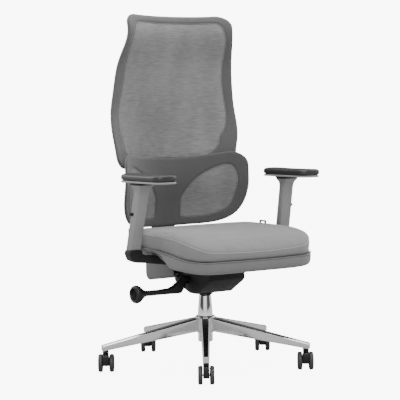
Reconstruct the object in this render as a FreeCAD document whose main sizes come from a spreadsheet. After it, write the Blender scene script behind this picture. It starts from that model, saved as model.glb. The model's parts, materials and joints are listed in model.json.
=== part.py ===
"""Mesh task chair: five-star base on casters, gas lift, synchro mechanism, seat, two-part back, adjustable arms.

Units are millimetres. The origin is on the gas lift's axis at floor level and +Z is up.
The sitter faces -Y, so the sitter's left hand is on the +X side.
"""
import FreeCAD, Part
import math
import os
import re
import Sketcher

Vector = FreeCAD.Vector
Rotation = FreeCAD.Rotation
Placement = FreeCAD.Placement

os.makedirs("parts", exist_ok=True)
doc = FreeCAD.newDocument("MeshChair")

# ---------------------------------------------------------------- driving dimensions
DIMENSIONS = [
    # clearances
    ("running_gap", 0.05, "radial gap of a shaft that turns or slides in a bore"),
    ("moving_gap", 0.5, "gap between faces on different moving bodies"),
    # five-star base
    ("star_radius", 345.0, "lift axis to a caster stem"),
    ("star_turn", 19.0, "angle of the first arm from +X, degrees"),
    ("hub_low", 118.0, "height of the hub's underside"),
    ("hub_tall", 54.0, "height of the hub"),
    ("hub_radius", 36.0, "outer radius of the hub"),
    ("hub_relief", 4.0, "depth and width of the ring groove round the column"),
    ("arm_root_width", 31.0, "width of an arm at the hub"),
    ("arm_root_depth", 46.0, "height of an arm's section at the hub"),
    ("arm_tip_width", 21.0, "width of an arm at its tip"),
    ("arm_tip_depth", 19.0, "height of an arm's section at its tip"),
    ("arm_tip_top", 93.0, "height of an arm's top edge at its tip"),
    ("arm_bevel", 4.0, "bevel along an arm's top edges"),
    ("boss_radius", 10.0, "radius of the stem boss under an arm's tip"),
    # casters
    ("wheel_radius", 30.0, "caster wheel radius"),
    ("wheel_width", 15.0, "caster wheel width"),
    ("wheel_split", 22.0, "distance between the two wheels of a caster"),
    ("wheel_dish", 2.5, "depth of the dish in a wheel's outer face"),
    ("caster_trail", 21.0, "stem axis to wheel axle"),
    ("caster_heading", 55.0, "direction of the trail from +X, degrees"),
    ("caster_top", 57.0, "top of the caster hood"),
    ("stem_radius", 5.5, "caster stem radius"),
    ("stem_depth", 22.0, "length of stem inside its boss"),
    ("axle_radius", 3.0, "caster axle radius"),
    # gas lift
    ("column_radius", 25.0, "outer radius of the column in the hub"),
    ("column_neck", 20.5, "outer radius of the column's top"),
    ("column_low", 85.0, "height of the column's closed end"),
    ("column_top", 242.0, "height of the column's open end"),
    ("column_floor", 7.0, "thickness of the column's end wall"),
    ("bush_radius", 18.0, "outer radius of the guide bush and bore of the column"),
    ("bush_long", 82.0, "length of the guide bush"),
    ("lift_radius", 14.0, "radius of the pressure tube"),
    ("lift_taper", 1.0, "reduction of radius along the tube's cone"),
    ("lift_low", 112.0, "lower end of the pressure tube at its lowest"),
    ("lift_top", 285.0, "top of the pressure tube at its lowest"),
    ("lift_travel", 100.0, "stroke of the gas lift"),
    ("rod_radius", 5.0, "radius of the piston rod"),
    ("pin_radius", 3.5, "radius of the release pin"),
    ("pin_stand", 9.0, "release pin above the pressure tube"),
    # mechanism
    ("case_half", 72.0, "half width of the mechanism housing"),
    ("case_wall", 5.0, "wall of the mechanism housing"),
    ("case_front", 128.0, "lift axis to the housing's front face"),
    ("case_rear", 75.0, "lift axis to the housing's rear face"),
    ("case_low", 254.0, "height of the housing's underside"),
    ("case_top", 326.0, "height of the housing's rim"),
    ("case_ear_top", 347.0, "height of the lugs for the seat axle"),
    ("neck_radius", 26.0, "radius of the housing's neck"),
    ("neck_low", 244.5, "height of the neck's lower end"),
    ("seat_axle_ahead", 105.0, "lift axis to the seat's pivot, forwards"),
    ("seat_axle_up", 336.0, "height of the seat's pivot"),
    ("seat_axle_radius", 6.0, "radius of the seat's pivot"),
    ("tilt_axle_back", 45.0, "lift axis to the back's pivot, rearwards"),
    ("tilt_axle_up", 300.0, "height of the back's pivot"),
    ("tilt_axle_radius", 8.0, "radius of the back's pivot"),
    ("spring_radius", 9.0, "mean radius of the tilt spring's coils"),
    ("spring_wire", 2.0, "radius of the tilt spring's wire"),
    ("spring_long", 52.0, "length of the tilt spring"),
    ("lever_up", 265.0, "height of the lever's neck and the knob's axis"),
    ("lever_half", 9.0, "half thickness of the lever"),
    ("lever_pivot_out", 60.0, "lift axis to the lever's pivot, to the right"),
    ("lever_pivot_up", 298.0, "height of the lever's pivot"),
    ("knob_start", 232.0, "lift axis to the knob's narrow end"),
    ("knob_long", 52.0, "length of the knob"),
    ("knob_radius", 30.0, "largest radius of the knob"),
    # seat
    ("seat_half", 262.0, "half width of the cushion"),
    ("seat_front", 305.0, "lift axis to the cushion's front"),
    ("seat_rear", 152.0, "lift axis to the cushion's rear"),
    ("seat_corner", 92.0, "radius of the cushion's front corners"),
    ("seat_heel", 108.0, "radius of the cushion's rear corners"),
    ("seat_top", 464.0, "height of the cushion's middle"),
    ("seat_nose", 404.0, "height of the cushion's top edge at the front"),
    ("cushion_low", 378.0, "height of the cushion's lower edge at the front"),
    ("cushion_flat", 412.0, "height of the cushion's lower edge behind"),
    ("pan_inset", 5.0, "pan edge inside the cushion edge"),
    ("pan_wall", 4.0, "thickness of the pan's shell"),
    ("pan_lip", 353.0, "height of the pan's front lip"),
    ("pan_side", 398.0, "height of the pan's lower edge behind"),
    ("pad_half", 104.0, "half width of the pan's mounting block"),
    ("plate_half", 150.0, "half width of the seat plate"),
    ("plate_low", 353.0, "height of the seat plate's underside"),
    ("plate_thick", 3.0, "thickness of the seat plate"),
    ("plate_front", 150.0, "lift axis to the plate's front edge"),
    ("plate_rear", 95.0, "lift axis to the plate's rear edge"),
    # back bracket
    ("jbar_half", 80.0, "half width of the back bracket's block"),
    ("jbar_cheek", 8.0, "thickness of the bracket's cheeks"),
    ("jbar_front", 125.0, "lift axis to the front of the bracket's block"),
    ("jbar_rear", 224.0, "lift axis to the back of the bracket's block"),
    ("jbar_low", 294.0, "height of the block's underside"),
    ("jbar_top", 350.0, "height of the block's top"),
    ("spine_half", 44.0, "half width of the upright spine"),
    ("spine_thick", 15.0, "thickness of the upright spine"),
    ("spine_top", 690.0, "height of the spine's top"),
    ("yoke_half", 150.0, "half width of the spine's yoke"),
    ("yoke_thick", 12.0, "thickness of the spine's yoke"),
    ("cover_wall", 4.0, "wall of the grey bracket cover"),
    ("cover_round", 24.0, "radius along the cover's lower edges"),
    # upper back: the hem is its lower edge, the crown its upper edge
    ("hem_up", 662.0, "height of the hem"),
    ("hem_half", 247.0, "half width at the hem"),
    ("hem_back", 250.0, "lift axis to the panel's middle at the hem"),
    ("waist_up", 780.0, "height of the widest level"),
    ("waist_half", 257.0, "half width at the waist"),
    ("waist_back", 245.0, "lift axis to the panel's middle at the waist"),
    ("chest_up", 920.0, "height of the chest level"),
    ("chest_half", 245.0, "half width at the chest"),
    ("chest_back", 216.0, "lift axis to the panel's middle at the chest"),
    ("neck_up", 1030.0, "height of the neck level"),
    ("neck_half", 230.0, "half width at the neck"),
    ("neck_back", 193.0, "lift axis to the panel's middle at the neck"),
    ("head_up", 1120.0, "height of the most forward level"),
    ("head_half", 213.5, "half width at the head"),
    ("head_back", 166.0, "lift axis to the panel's middle at the head"),
    ("crown_up", 1180.0, "height of the crown's corners"),
    ("crown_half", 203.0, "half width at the crown"),
    ("crown_back", 187.0, "lift axis to the panel's middle at the crown"),
    ("crown_dip", 4.0, "dip of the crown's middle"),
    ("crown_corner", 36.0, "radius of the crown's corners"),
    ("hollow_low", 0.0017, "sideways curvature of the panel below the waist"),
    ("hollow_mid", 0.0008, "sideways curvature of the panel at the chest"),
    ("hollow_top", 0.0010, "sideways curvature of the panel at the crown"),
    ("back_thick", 16.0, "thickness of the back frame"),
    ("band_crown", 31.0, "width of the back frame's sides at the head"),
    ("band_chest", 38.0, "width of the back frame's sides at the chest"),
    ("band_waist", 49.0, "width of the back frame's sides at the waist"),
    ("hem_corner", 58.0, "radius of the upper back's lower corners"),
    ("band_top", 27.0, "height of the back frame's top"),
    ("band_low", 32.0, "height of the back frame's bottom"),
    ("mesh_thick", 2.0, "thickness of the mesh panels"),
    # lumbar panel
    ("lumbar_low", 457.0, "height of the lumbar panel's lower edge"),
    ("lumbar_high", 714.0, "height of the lumbar panel's upper corners"),
    ("lumbar_dip", 20.0, "dip of the upper edge's middle"),
    ("lumbar_half", 252.0, "half width of the lumbar panel"),
    ("lumbar_foot_back", 222.0, "lift axis to the panel's middle at its foot"),
    ("lumbar_belly_back", 206.0, "lift axis to the panel's middle at its belly"),
    ("lumbar_brow_back", 208.0, "lift axis to the panel's middle at its brow"),
    ("lumbar_hollow", 0.002, "sideways curvature of the lumbar panel"),
    ("lumbar_thick", 14.0, "thickness of the lumbar panel"),
    ("lumbar_corner", 45.0, "radius of the panel's upper corners"),
    ("lumbar_band", 34.0, "width of the rim round the lumbar windows"),
    ("lumbar_web", 55.0, "half width of the web between the windows"),
    ("hinge_up", 585.0, "height of the lumbar hinge"),
    ("hinge_radius", 4.0, "radius of the lumbar hinge pin"),
    # arms
    ("post_foot_out", 301.0, "lift axis to a post's middle at its foot, sideways"),
    ("post_foot_ahead", 33.0, "lift axis to a post's middle at its foot, forwards"),
    ("post_foot_up", 414.0, "height of a post's foot"),
    ("post_head_out", 292.0, "lift axis to a post's middle at its head, sideways"),
    ("post_head_ahead", 76.0, "lift axis to a post's middle at its head, forwards"),
    ("post_head_up", 618.0, "height of a post's head"),
    ("post_wide", 43.0, "sideways size of a post"),
    ("post_deep", 28.0, "fore and aft size of a post"),
    ("post_bevel", 7.0, "bevel on a post's upright edges"),
    ("post_wall", 5.0, "wall of the outer sleeve"),
    ("tube_long", 150.0, "length of the inner upright above the bracket"),
    ("bracket_low", 373.0, "height of the bracket's outer underside"),
    ("bracket_inner", 108.0, "lift axis to the bracket's inner end"),
    ("bracket_deep", 34.0, "fore and aft size of the bracket"),
    ("bracket_round", 28.0, "radius of the bracket's outer corner"),
    ("loop_out", 268.0, "lift axis to the bracket's rear loop, sideways"),
    ("loop_back", 46.0, "lift axis to the loop's rear edge"),
    ("loop_up", 476.0, "height of the loop's top"),
    ("loop_wide", 34.0, "fore and aft size of the loop"),
    ("head_wide", 62.0, "sideways size of the sleeve's flared head"),
    ("head_deep", 56.0, "fore and aft size of the sleeve's flared head"),
    ("head_thick", 5.0, "thickness of the sleeve's flared head"),
    ("slider_thick", 6.0, "height of the sliding carriage under the pad tray"),
    ("button_up", 532.0, "height of the height-release button"),
    ("button_radius", 5.0, "radius of the height-release button"),
    ("button_long", 12.5, "length of the height-release button"),
    ("pad_out", 287.5, "lift axis to the arm pad's middle, sideways"),
    ("pad_ahead", 105.0, "lift axis to the arm pad's middle, forwards"),
    ("pad_long", 232.0, "length of an arm pad"),
    ("pad_wide", 86.0, "width of an arm pad"),
    ("pad_corner", 30.0, "radius of an arm pad's corners"),
    ("pad_thick", 20.0, "thickness of the soft pad"),
    ("tray_low", 630.0, "height of the pad tray's underside"),
    ("tray_thick", 6.5, "thickness of the pad tray"),
    ("swivel_radius", 9.0, "radius of the pad's swivel pin"),
    ("swivel_tall", 4.0, "length of the swivel pin inside the tray"),
]

sheet = doc.addObject("Spreadsheet::Sheet", "Dims")
for row, (alias, value, meaning) in enumerate(DIMENSIONS, start=1):
    sheet.set("A%d" % row, alias)
    sheet.set("B%d" % row, str(value))
    sheet.set("C%d" % row, meaning)
    sheet.setAlias("B%d" % row, alias)
doc.recompute()

STAR_ARMS = 5
ARM_STEP = 360.0 / STAR_ARMS
SIDES = (("left", 1.0), ("right", -1.0))


# ---------------------------------------------------------------- helpers
def dims(text):
    """Return an expression in which every sheet alias is written in full."""
    return re.sub(r"[a-z]+(?:_[a-z]+)+", r"Dims.\g<0>", text)


def number(text):
    """Return the value of an expression of sheet aliases."""
    return float(sheet.evalExpression(text))


def bind(item, bindings):
    """Bind properties of a document object to expressions of sheet aliases."""
    for name, text in bindings.items():
        item.setExpression(name, dims(text))


def place(item, across="0", along="0", up="0", rotation=None):
    """Set an object's rotation, and bind its position to expressions."""
    item.Placement = Placement(Vector(0, 0, 0), rotation or Rotation())
    bind(item, {"Placement.Base.x": across, "Placement.Base.y": along, "Placement.Base.z": up})


def origin_item(body, role):
    """Return the origin plane or axis of a body that has a role, such as XY_Plane."""
    return [item for item in body.Origin.OriginFeatures if item.Role == role][0]


def hold(sketch, kind, index, position, value, text):
    """Bind one coordinate of a sketch point to an expression."""
    if text == "0":
        axis = -2 if kind == "DistanceX" else -1
        sketch.addConstraint(Sketcher.Constraint("PointOnObject", index, position, axis))
        return
    constraint = sketch.addConstraint(Sketcher.Constraint(kind, -1, 1, index, position, value))
    sketch.setExpression("Constraints[%d]" % constraint, dims(text))


def draw_outline(sketch, corners):
    """Draw a closed outline of straight edges whose corners are pairs of expressions."""
    spots = [Vector(number(across), number(up), 0) for across, up in corners]
    for index, spot in enumerate(spots):
        following = spots[(index + 1) % len(spots)]
        sketch.addGeometry(Part.LineSegment(spot, following))
    for index in range(len(spots)):
        following = (index + 1) % len(spots)
        sketch.addConstraint(Sketcher.Constraint("Coincident", index, 2, following, 1))
    for index, (across, up) in enumerate(corners):
        hold(sketch, "DistanceX", index, 1, spots[index].x, across)
        hold(sketch, "DistanceY", index, 1, spots[index].y, up)


def draw_circle(sketch, across, up, radius):
    """Draw a circle whose centre and radius are expressions."""
    centre = Vector(number(across), number(up), 0)
    index = sketch.addGeometry(Part.Circle(centre, Vector(0, 0, 1), number(radius)))
    constraint = sketch.addConstraint(Sketcher.Constraint("Radius", index, number(radius)))
    sketch.setExpression("Constraints[%d]" % constraint, dims(radius))
    hold(sketch, "DistanceX", index, 3, centre.x, across)
    hold(sketch, "DistanceY", index, 3, centre.y, up)


def body_sketch(body, name, role, lift="0"):
    """Add a sketch to a body on one of its origin planes, moved along the plane's normal."""
    sketch = body.newObject("Sketcher::SketchObject", name)
    sketch.AttachmentSupport = [(origin_item(body, role), "")]
    sketch.MapMode = "FlatFace"
    bind(sketch, {"AttachmentOffset.Base.z": lift})
    return sketch


def new_body(label):
    """Add an empty body for one sub-part."""
    body = doc.addObject("PartDesign::Body", label)
    body.Label = label
    return body


def add_feature(body, kind, sketch, length=None, symmetric=False, backwards=False):
    """Add a pad or pocket of a sketch to a body; with no length a pocket goes right through."""
    feature = body.newObject("PartDesign::" + kind, sketch.Name + kind)
    feature.Profile = sketch
    feature.Reversed = backwards
    if symmetric:
        feature.SideType = "Symmetric"
    if length is None:
        feature.Type = "ThroughAll"
    else:
        bind(feature, {"Length": length})
    return feature


def revolve(body, corners, name="Profile"):
    """Turn an outline of (radius, height) corners about the body's Z axis."""
    sketch = body_sketch(body, body.Name + name, "XZ_Plane")
    draw_outline(sketch, corners)
    feature = body.newObject("PartDesign::Revolution", sketch.Name + "Turn")
    feature.Profile = sketch
    feature.ReferenceAxis = (sketch, ["V_Axis"])
    feature.Angle = 360.0
    return feature


def repeat_round(body, features):
    """Repeat features of a body once for each arm of the star."""
    pattern = body.newObject("PartDesign::PolarPattern", features[0].Name + "Round")
    pattern.Originals = features
    pattern.Axis = (origin_item(body, "Z_Axis"), [""])
    pattern.Angle = 360.0
    pattern.Occurrences = STAR_ARMS
    body.Tip = pattern
    return pattern


def cylinder(name, radius, height, direction=None):
    """Add a cylinder along a direction."""
    item = doc.addObject("Part::Cylinder", name)
    item.Placement = Placement(Vector(0, 0, 0), Rotation(Vector(0, 0, 1), direction or Vector(0, 0, 1)))
    bind(item, {"Radius": radius, "Height": height})
    return item


def block(name, low, size):
    """Add a box from its low corner and its size, both as three expressions."""
    item = doc.addObject("Part::Box", name)
    place(item, *low)
    bind(item, {"Length": size[0], "Width": size[1], "Height": size[2]})
    return item


def spot(item, across, along, up):
    """Bind the position of an object that already has its rotation."""
    bind(item, {"Placement.Base.x": across, "Placement.Base.y": along, "Placement.Base.z": up})
    return item


def cut(label, base, tools):
    """Cut tools from a base and label the result."""
    for index, tool in enumerate(tools):
        last = index == len(tools) - 1
        result = doc.addObject("Part::Cut", label if last else "%s_cut_%d" % (label, index))
        result.Base = base
        result.Tool = tool
        base = result
    return base


def fuse(label, shapes):
    """Join shapes into one and label the result."""
    result = doc.addObject("Part::MultiFuse", label)
    result.Shapes = shapes
    result.Refine = True
    return result


def group(label, shapes):
    """Keep separate solids together under one label."""
    result = doc.addObject("Part::Compound", label)
    result.Links = shapes
    return result


PLANES = {
    "plan": Rotation(),
    "side": Rotation(Vector(0, 1, 0), Vector(0, 0, 1), Vector(1, 0, 0), "ZXY"),
    "front": Rotation(Vector(1, 0, 0), Vector(0, 0, 1), Vector(0, -1, 0), "ZXY"),
}


def prism(name, plane, corners, start, length):
    """Extrude an outline on the plan, side or front plane along +Z, +X or -Y."""
    sketch = doc.addObject("Sketcher::SketchObject", name + "_outline")
    rotation = PLANES[plane]
    sketch.Placement = Placement(Vector(0, 0, 0), rotation)
    draw_outline(sketch, corners)
    normal = rotation.multVec(Vector(0, 0, 1))
    offset = {"plan": "z", "side": "x", "front": "y"}[plane]
    sign = "-" if plane == "front" else ""
    bind(sketch, {"Placement.Base." + offset: "%s(%s)" % (sign, start)})
    extrusion = doc.addObject("Part::Extrusion", name)
    extrusion.Base = sketch
    extrusion.DirMode = "Custom"
    extrusion.Dir = normal
    extrusion.Solid = True
    bind(extrusion, {"LengthFwd": length})
    return extrusion


def feature(label, shape, placement=None):
    """Add a sub-part whose shape is worked out in code."""
    item = doc.addObject("Part::Feature", label)
    item.Label = label
    item.Shape = shape
    item.Placement = placement or Placement()
    return item


# ---------------------------------------------------------------- five-star base
def make_star_base():
    """Cast star: hub, five tapering arms with bevelled top edges and a stem boss under each tip."""
    body = new_body("star_base")
    bind(body, {"Placement.Rotation.Angle": "star_turn"})
    revolve(body, [
        ("0", "hub_low"),
        ("hub_radius - 3", "hub_low"),
        ("hub_radius", "hub_low + 4"),
        ("hub_radius - 2", "hub_low + hub_tall - 3"),
        ("hub_radius - 5", "hub_low + hub_tall"),
        ("0", "hub_low + hub_tall"),
    ])
    sections = [
        ("Root", "hub_radius - 14", "arm_root_width", "hub_low + hub_tall - 4", "arm_root_depth"),
        ("Tip", "star_radius + boss_radius + 2", "arm_tip_width", "arm_tip_top", "arm_tip_depth"),
    ]
    sketches = []
    for name, station, width, top, depth in sections:
        sketch = body_sketch(body, "Arm" + name, "YZ_Plane", station)
        draw_outline(sketch, [
            ("-%s / 2" % width, "%s - %s" % (top, depth)),
            ("%s / 2" % width, "%s - %s" % (top, depth)),
            ("%s / 2" % width, "%s - arm_bevel" % top),
            ("%s / 2 - arm_bevel" % width, top),
            ("-%s / 2 + arm_bevel" % width, top),
            ("-%s / 2" % width, "%s - arm_bevel" % top),
        ])
        sketches.append(sketch)
    arm = body.newObject("PartDesign::AdditiveLoft", "Arm")
    arm.Profile = sketches[0]
    arm.Sections = [sketches[1]]
    arm.Ruled = True
    boss_sketch = body_sketch(body, "BossOutline", "XY_Plane", "caster_top + 2")
    draw_circle(boss_sketch, "star_radius", "0", "boss_radius")
    boss = add_feature(body, "Pad", boss_sketch, "stem_depth")
    repeat_round(body, [arm, boss])
    bore_sketch = body_sketch(body, "ColumnBoreOutline", "XY_Plane", "hub_low - 1")
    draw_circle(bore_sketch, "0", "0", "column_radius")
    add_feature(body, "Pocket", bore_sketch, "hub_tall + 2", backwards=True)
    relief_sketch = body_sketch(body, "ReliefOutline", "XY_Plane", "hub_low + hub_tall - hub_relief")
    draw_circle(relief_sketch, "0", "0", "column_radius + hub_relief")
    add_feature(body, "Pocket", relief_sketch, "hub_relief + 1", backwards=True)
    socket_sketch = body_sketch(body, "SocketOutline", "XY_Plane", "caster_top + 1")
    draw_circle(socket_sketch, "star_radius", "0", "stem_radius")
    socket = add_feature(body, "Pocket", socket_sketch, "stem_depth + 1", backwards=True)
    repeat_round(body, [socket])
    return body


def star_spot(index, reach="star_radius"):
    """Return the position of a star tip as two expressions."""
    angle = "(star_turn + %g)" % (ARM_STEP * index)
    return "%s * cos(%s)" % (reach, angle), "%s * sin(%s)" % (reach, angle)


def make_caster_stems():
    """Five stems, each with a collar that carries the star on its caster."""
    stems = []
    for index in range(STAR_ARMS):
        across, along = star_spot(index)
        shank = spot(cylinder("stem_%d" % index, "stem_radius", "stem_depth + 22"), across, along,
                     "caster_top - 20")
        collar = spot(cylinder("collar_%d" % index, "stem_radius + 3", "2 - moving_gap"), across, along,
                      "caster_top + moving_gap")
        stems.append(fuse("caster_stem_%d" % index, [shank, collar]))
    return group("caster_stems", stems)


def make_hood(index):
    """Caster hood: the body between the wheels, with the stem's socket and the axle's hole."""
    body = new_body("caster_%d_hood" % index)
    across, along = star_spot(index)
    spot(body, across, along, "0")
    bind(body, {"Placement.Rotation.Angle": "caster_heading"})
    profile = body_sketch(body, body.Name + "Profile", "XZ_Plane")
    draw_outline(profile, [
        ("-12", "caster_top - 16"),
        ("-8", "caster_top - 27"),
        ("caster_trail - 12", "wheel_radius - 9"),
        ("caster_trail + 8", "wheel_radius - 9"),
        ("caster_trail + 14", "wheel_radius + 2"),
        ("caster_trail + 9", "wheel_radius + 15"),
        ("caster_trail - 3", "caster_top - 2"),
        ("caster_trail - 8", "caster_top"),
        ("-12", "caster_top"),
    ])
    add_feature(body, "Pad", profile, "wheel_split - 4 * moving_gap", symmetric=True)
    socket = body_sketch(body, body.Name + "Socket", "XY_Plane", "caster_top + 1")
    draw_circle(socket, "0", "0", "stem_radius + running_gap")
    add_feature(body, "Pocket", socket, "22 + moving_gap")
    hole = body_sketch(body, body.Name + "AxleHole", "XZ_Plane")
    draw_circle(hole, "caster_trail", "wheel_radius", "axle_radius")
    add_feature(body, "Pocket", hole, "wheel_split * 2", symmetric=True)
    return body


def axle_spot(index, side):
    """Return the spot on a caster's axle where a wheel's inner face is, as three expressions."""
    across, along = star_spot(index)
    reach = "%g * wheel_split / 2" % side
    return (
        "%s + caster_trail * cos(caster_heading) + %s * sin(caster_heading)" % (across, reach),
        "%s + caster_trail * sin(caster_heading) - %s * cos(caster_heading)" % (along, reach),
        "wheel_radius",
    )


def axle_direction(side):
    """Return the direction along a caster axle towards one side."""
    heading = math.radians(number("caster_heading"))
    return Vector(side * math.sin(heading), -side * math.cos(heading), 0)


def make_caster_axle(index):
    """Caster axle, pressed in the hood and blind in both wheels."""
    axle = cylinder("caster_%d_axle" % index, "axle_radius", "wheel_split + wheel_width", axle_direction(1))
    across, along = star_spot(index)
    reach = "(wheel_split + wheel_width) / 2"
    return spot(axle,
                "%s + caster_trail * cos(caster_heading) - %s * sin(caster_heading)" % (across, reach),
                "%s + caster_trail * sin(caster_heading) + %s * cos(caster_heading)" % (along, reach),
                "wheel_radius")


def make_wheel(index, name, side):
    """Caster wheel: a rounded tread, a dished outer face and a blind hole for the axle."""
    body = new_body("caster_%d_wheel_%s" % (index, name))
    body.Placement = Placement(Vector(0, 0, 0), Rotation(Vector(0, 0, 1), axle_direction(side)))
    spot(body, *axle_spot(index, side))
    revolve(body, [
        ("axle_radius + running_gap", "0"),
        ("wheel_radius - 4", "0"),
        ("wheel_radius - 1", "1.2"),
        ("wheel_radius", "4"),
        ("wheel_radius", "wheel_width - 5"),
        ("wheel_radius - 2", "wheel_width - 1.6"),
        ("wheel_radius - 5", "wheel_width"),
        ("wheel_radius - 8", "wheel_width"),
        ("wheel_radius - 10", "wheel_width - wheel_dish"),
        ("9", "wheel_width - wheel_dish"),
        ("7", "wheel_width"),
        ("0", "wheel_width"),
        ("0", "wheel_width / 2 + moving_gap"),
        ("axle_radius + running_gap", "wheel_width / 2 + moving_gap"),
    ])
    return body


def make_casters():
    """Five twin-wheel casters."""
    parts = []
    for index in range(STAR_ARMS):
        parts.append(make_hood(index))
        parts.append(make_caster_axle(index))
        for name, side in SIDES:
            parts.append(make_wheel(index, name, side))
    return parts


# ---------------------------------------------------------------- gas lift
def make_gas_lift():
    """Column tube, guide bush, thrust bearing, piston rod, pressure tube and release pin."""
    column = new_body("column_tube")
    revolve(column, [
        ("0", "column_low"),
        ("column_radius - 4", "column_low"),
        ("column_radius", "column_low + 4"),
        ("column_radius", "hub_low + hub_tall + 8"),
        ("column_neck", "column_top - 2"),
        ("column_neck - 1", "column_top"),
        ("bush_radius", "column_top"),
        ("bush_radius", "column_low + column_floor"),
        ("0", "column_low + column_floor"),
    ])
    bush = new_body("guide_bush")
    revolve(bush, [
        ("lift_radius + running_gap", "column_top - bush_long"),
        ("bush_radius", "column_top - bush_long"),
        ("bush_radius", "column_top"),
        ("lift_radius + running_gap", "column_top"),
    ])
    bearing = new_body("thrust_bearing")
    revolve(bearing, [
        ("rod_radius + running_gap", "column_low + column_floor"),
        ("lift_radius", "column_low + column_floor"),
        ("lift_radius", "column_low + column_floor + 6"),
        ("rod_radius + running_gap", "column_low + column_floor + 6"),
    ])
    rod = new_body("piston_rod")
    revolve(rod, [
        ("0", "column_low + column_floor + moving_gap"),
        ("rod_radius", "column_low + column_floor + moving_gap"),
        ("rod_radius", "column_low + column_floor + 6 + running_gap"),
        ("rod_radius + 4", "column_low + column_floor + 6 + running_gap"),
        ("rod_radius + 4", "column_low + column_floor + 9"),
        ("rod_radius", "column_low + column_floor + 9"),
        ("rod_radius", "lift_low + lift_travel + 25"),
        ("0", "lift_low + lift_travel + 25"),
    ])
    tube = new_body("pressure_tube")
    revolve(tube, [
        ("rod_radius + running_gap", "lift_low"),
        ("lift_radius - 1", "lift_low"),
        ("lift_radius", "lift_low + 1"),
        ("lift_radius", "neck_low"),
        ("lift_radius - lift_taper", "lift_top"),
        ("pin_radius + running_gap", "lift_top"),
        ("pin_radius + running_gap", "lift_top - 17"),
        ("0", "lift_top - 17"),
        ("0", "lift_top - 23"),
        ("rod_radius + running_gap", "lift_top - 23"),
    ])
    pin = spot(cylinder("release_pin", "pin_radius", "pin_stand + 10"), "0", "0", "lift_top - 10")
    return [column, bush, bearing, rod, tube, pin]


# ---------------------------------------------------------------- tilt mechanism
def case_profile(inset):
    """Return the housing's side outline, moved inwards by an inset."""
    return [
        ("-case_front + %s" % inset, "case_ear_top + 1"),
        ("-case_front + %s" % inset, "case_low + 50"),
        ("-case_front + 11 + %s * 0.6" % inset, "case_low + 40 + %s * 0.6" % inset),
        ("-case_front + 76 + %s * 0.3" % inset, "case_low + %s" % inset),
        ("case_rear - 88 - %s * 0.2" % inset, "case_low + %s" % inset),
        ("case_rear - %s" % inset, "case_low + 34 + %s" % inset),
        ("case_rear - %s" % inset, "case_ear_top + 1"),
    ]


def make_housing():
    """Mechanism housing: an open tray with lugs for the seat axle, a neck and the lift's tapered socket."""
    body = new_body("mechanism_housing")
    outside = body_sketch(body, "CaseOutside", "YZ_Plane")
    draw_outline(outside, case_profile("0"))
    add_feature(body, "Pad", outside, "case_half * 2", symmetric=True)
    inside = body_sketch(body, "CaseInside", "YZ_Plane")
    draw_outline(inside, case_profile("case_wall")[:-1] + [
        ("case_rear - case_wall", "case_ear_top + 2"), ("-case_front + case_wall", "case_ear_top + 2")])
    add_feature(body, "Pocket", inside, "(case_half - case_wall) * 2", symmetric=True)
    rim = body_sketch(body, "CaseRim", "YZ_Plane")
    draw_outline(rim, [
        ("-seat_axle_ahead + 22", "case_top"),
        ("case_rear + 1", "case_top"),
        ("case_rear + 1", "case_ear_top + 2"),
        ("-seat_axle_ahead + 14", "case_ear_top + 2"),
        ("-seat_axle_ahead + 14", "case_top + 9"),
    ])
    add_feature(body, "Pocket", rim, "case_half * 2 + 2", symmetric=True)
    top = body_sketch(body, "CaseTop", "XY_Plane", "case_ear_top")
    draw_outline(top, [
        ("-case_half - 1", "-case_front - 1"),
        ("case_half + 1", "-case_front - 1"),
        ("case_half + 1", "case_rear + 1"),
        ("-case_half - 1", "case_rear + 1"),
    ])
    add_feature(body, "Pocket", top, "4", backwards=True)
    neck = body_sketch(body, "NeckOutline", "XY_Plane", "neck_low")
    draw_circle(neck, "0", "0", "neck_radius")
    add_feature(body, "Pad", neck, "lift_top - neck_low - 3")
    boss = body_sketch(body, "BossRing", "XY_Plane", "case_low")
    draw_circle(boss, "0", "0", "lift_radius + case_wall")
    add_feature(body, "Pad", boss, "lift_top - case_low")
    socket = body_sketch(body, "SocketProfile", "XZ_Plane")
    draw_outline(socket, [
        ("0", "neck_low - 2"),
        ("lift_radius", "neck_low - 2"),
        ("lift_radius", "neck_low"),
        ("lift_radius - lift_taper", "lift_top"),
        ("0", "lift_top"),
    ])
    groove = body.newObject("PartDesign::Groove", "Socket")
    groove.Profile = socket
    groove.ReferenceAxis = (socket, ["V_Axis"])
    groove.Angle = 360.0
    axles = [
        ("SeatAxleHole", "-seat_axle_ahead", "seat_axle_up", "seat_axle_radius"),
        ("TiltAxleHole", "tilt_axle_back", "tilt_axle_up", "tilt_axle_radius"),
    ]
    for name, along, up, radius in axles:
        hole = body_sketch(body, name, "YZ_Plane")
        draw_circle(hole, along, up, radius)
        add_feature(body, "Pocket", hole, "case_half * 2 + 2", symmetric=True)
    rib = body_sketch(body, "SpringRib", "XZ_Plane", "case_front - case_wall - spring_long - 5")
    draw_outline(rib, [
        ("case_half / 2 - 14", "case_low + 13"),
        ("case_half / 2 + 14", "case_low + 13"),
        ("case_half / 2 + 14", "case_top - 2"),
        ("case_half / 2 - 14", "case_top - 2"),
    ])
    add_feature(body, "Pad", rib, "5")
    slot = body_sketch(body, "LeverSlot", "YZ_Plane", "-case_half - 1")
    draw_outline(slot, [
        ("-lever_half - 2", "lever_pivot_up - 12"),
        ("lever_half + 2", "lever_pivot_up - 12"),
        ("lever_half + 2", "lever_pivot_up + 12"),
        ("-lever_half - 2", "lever_pivot_up + 12"),
    ])
    add_feature(body, "Pocket", slot, "case_wall + 2", backwards=True)
    return body


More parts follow.
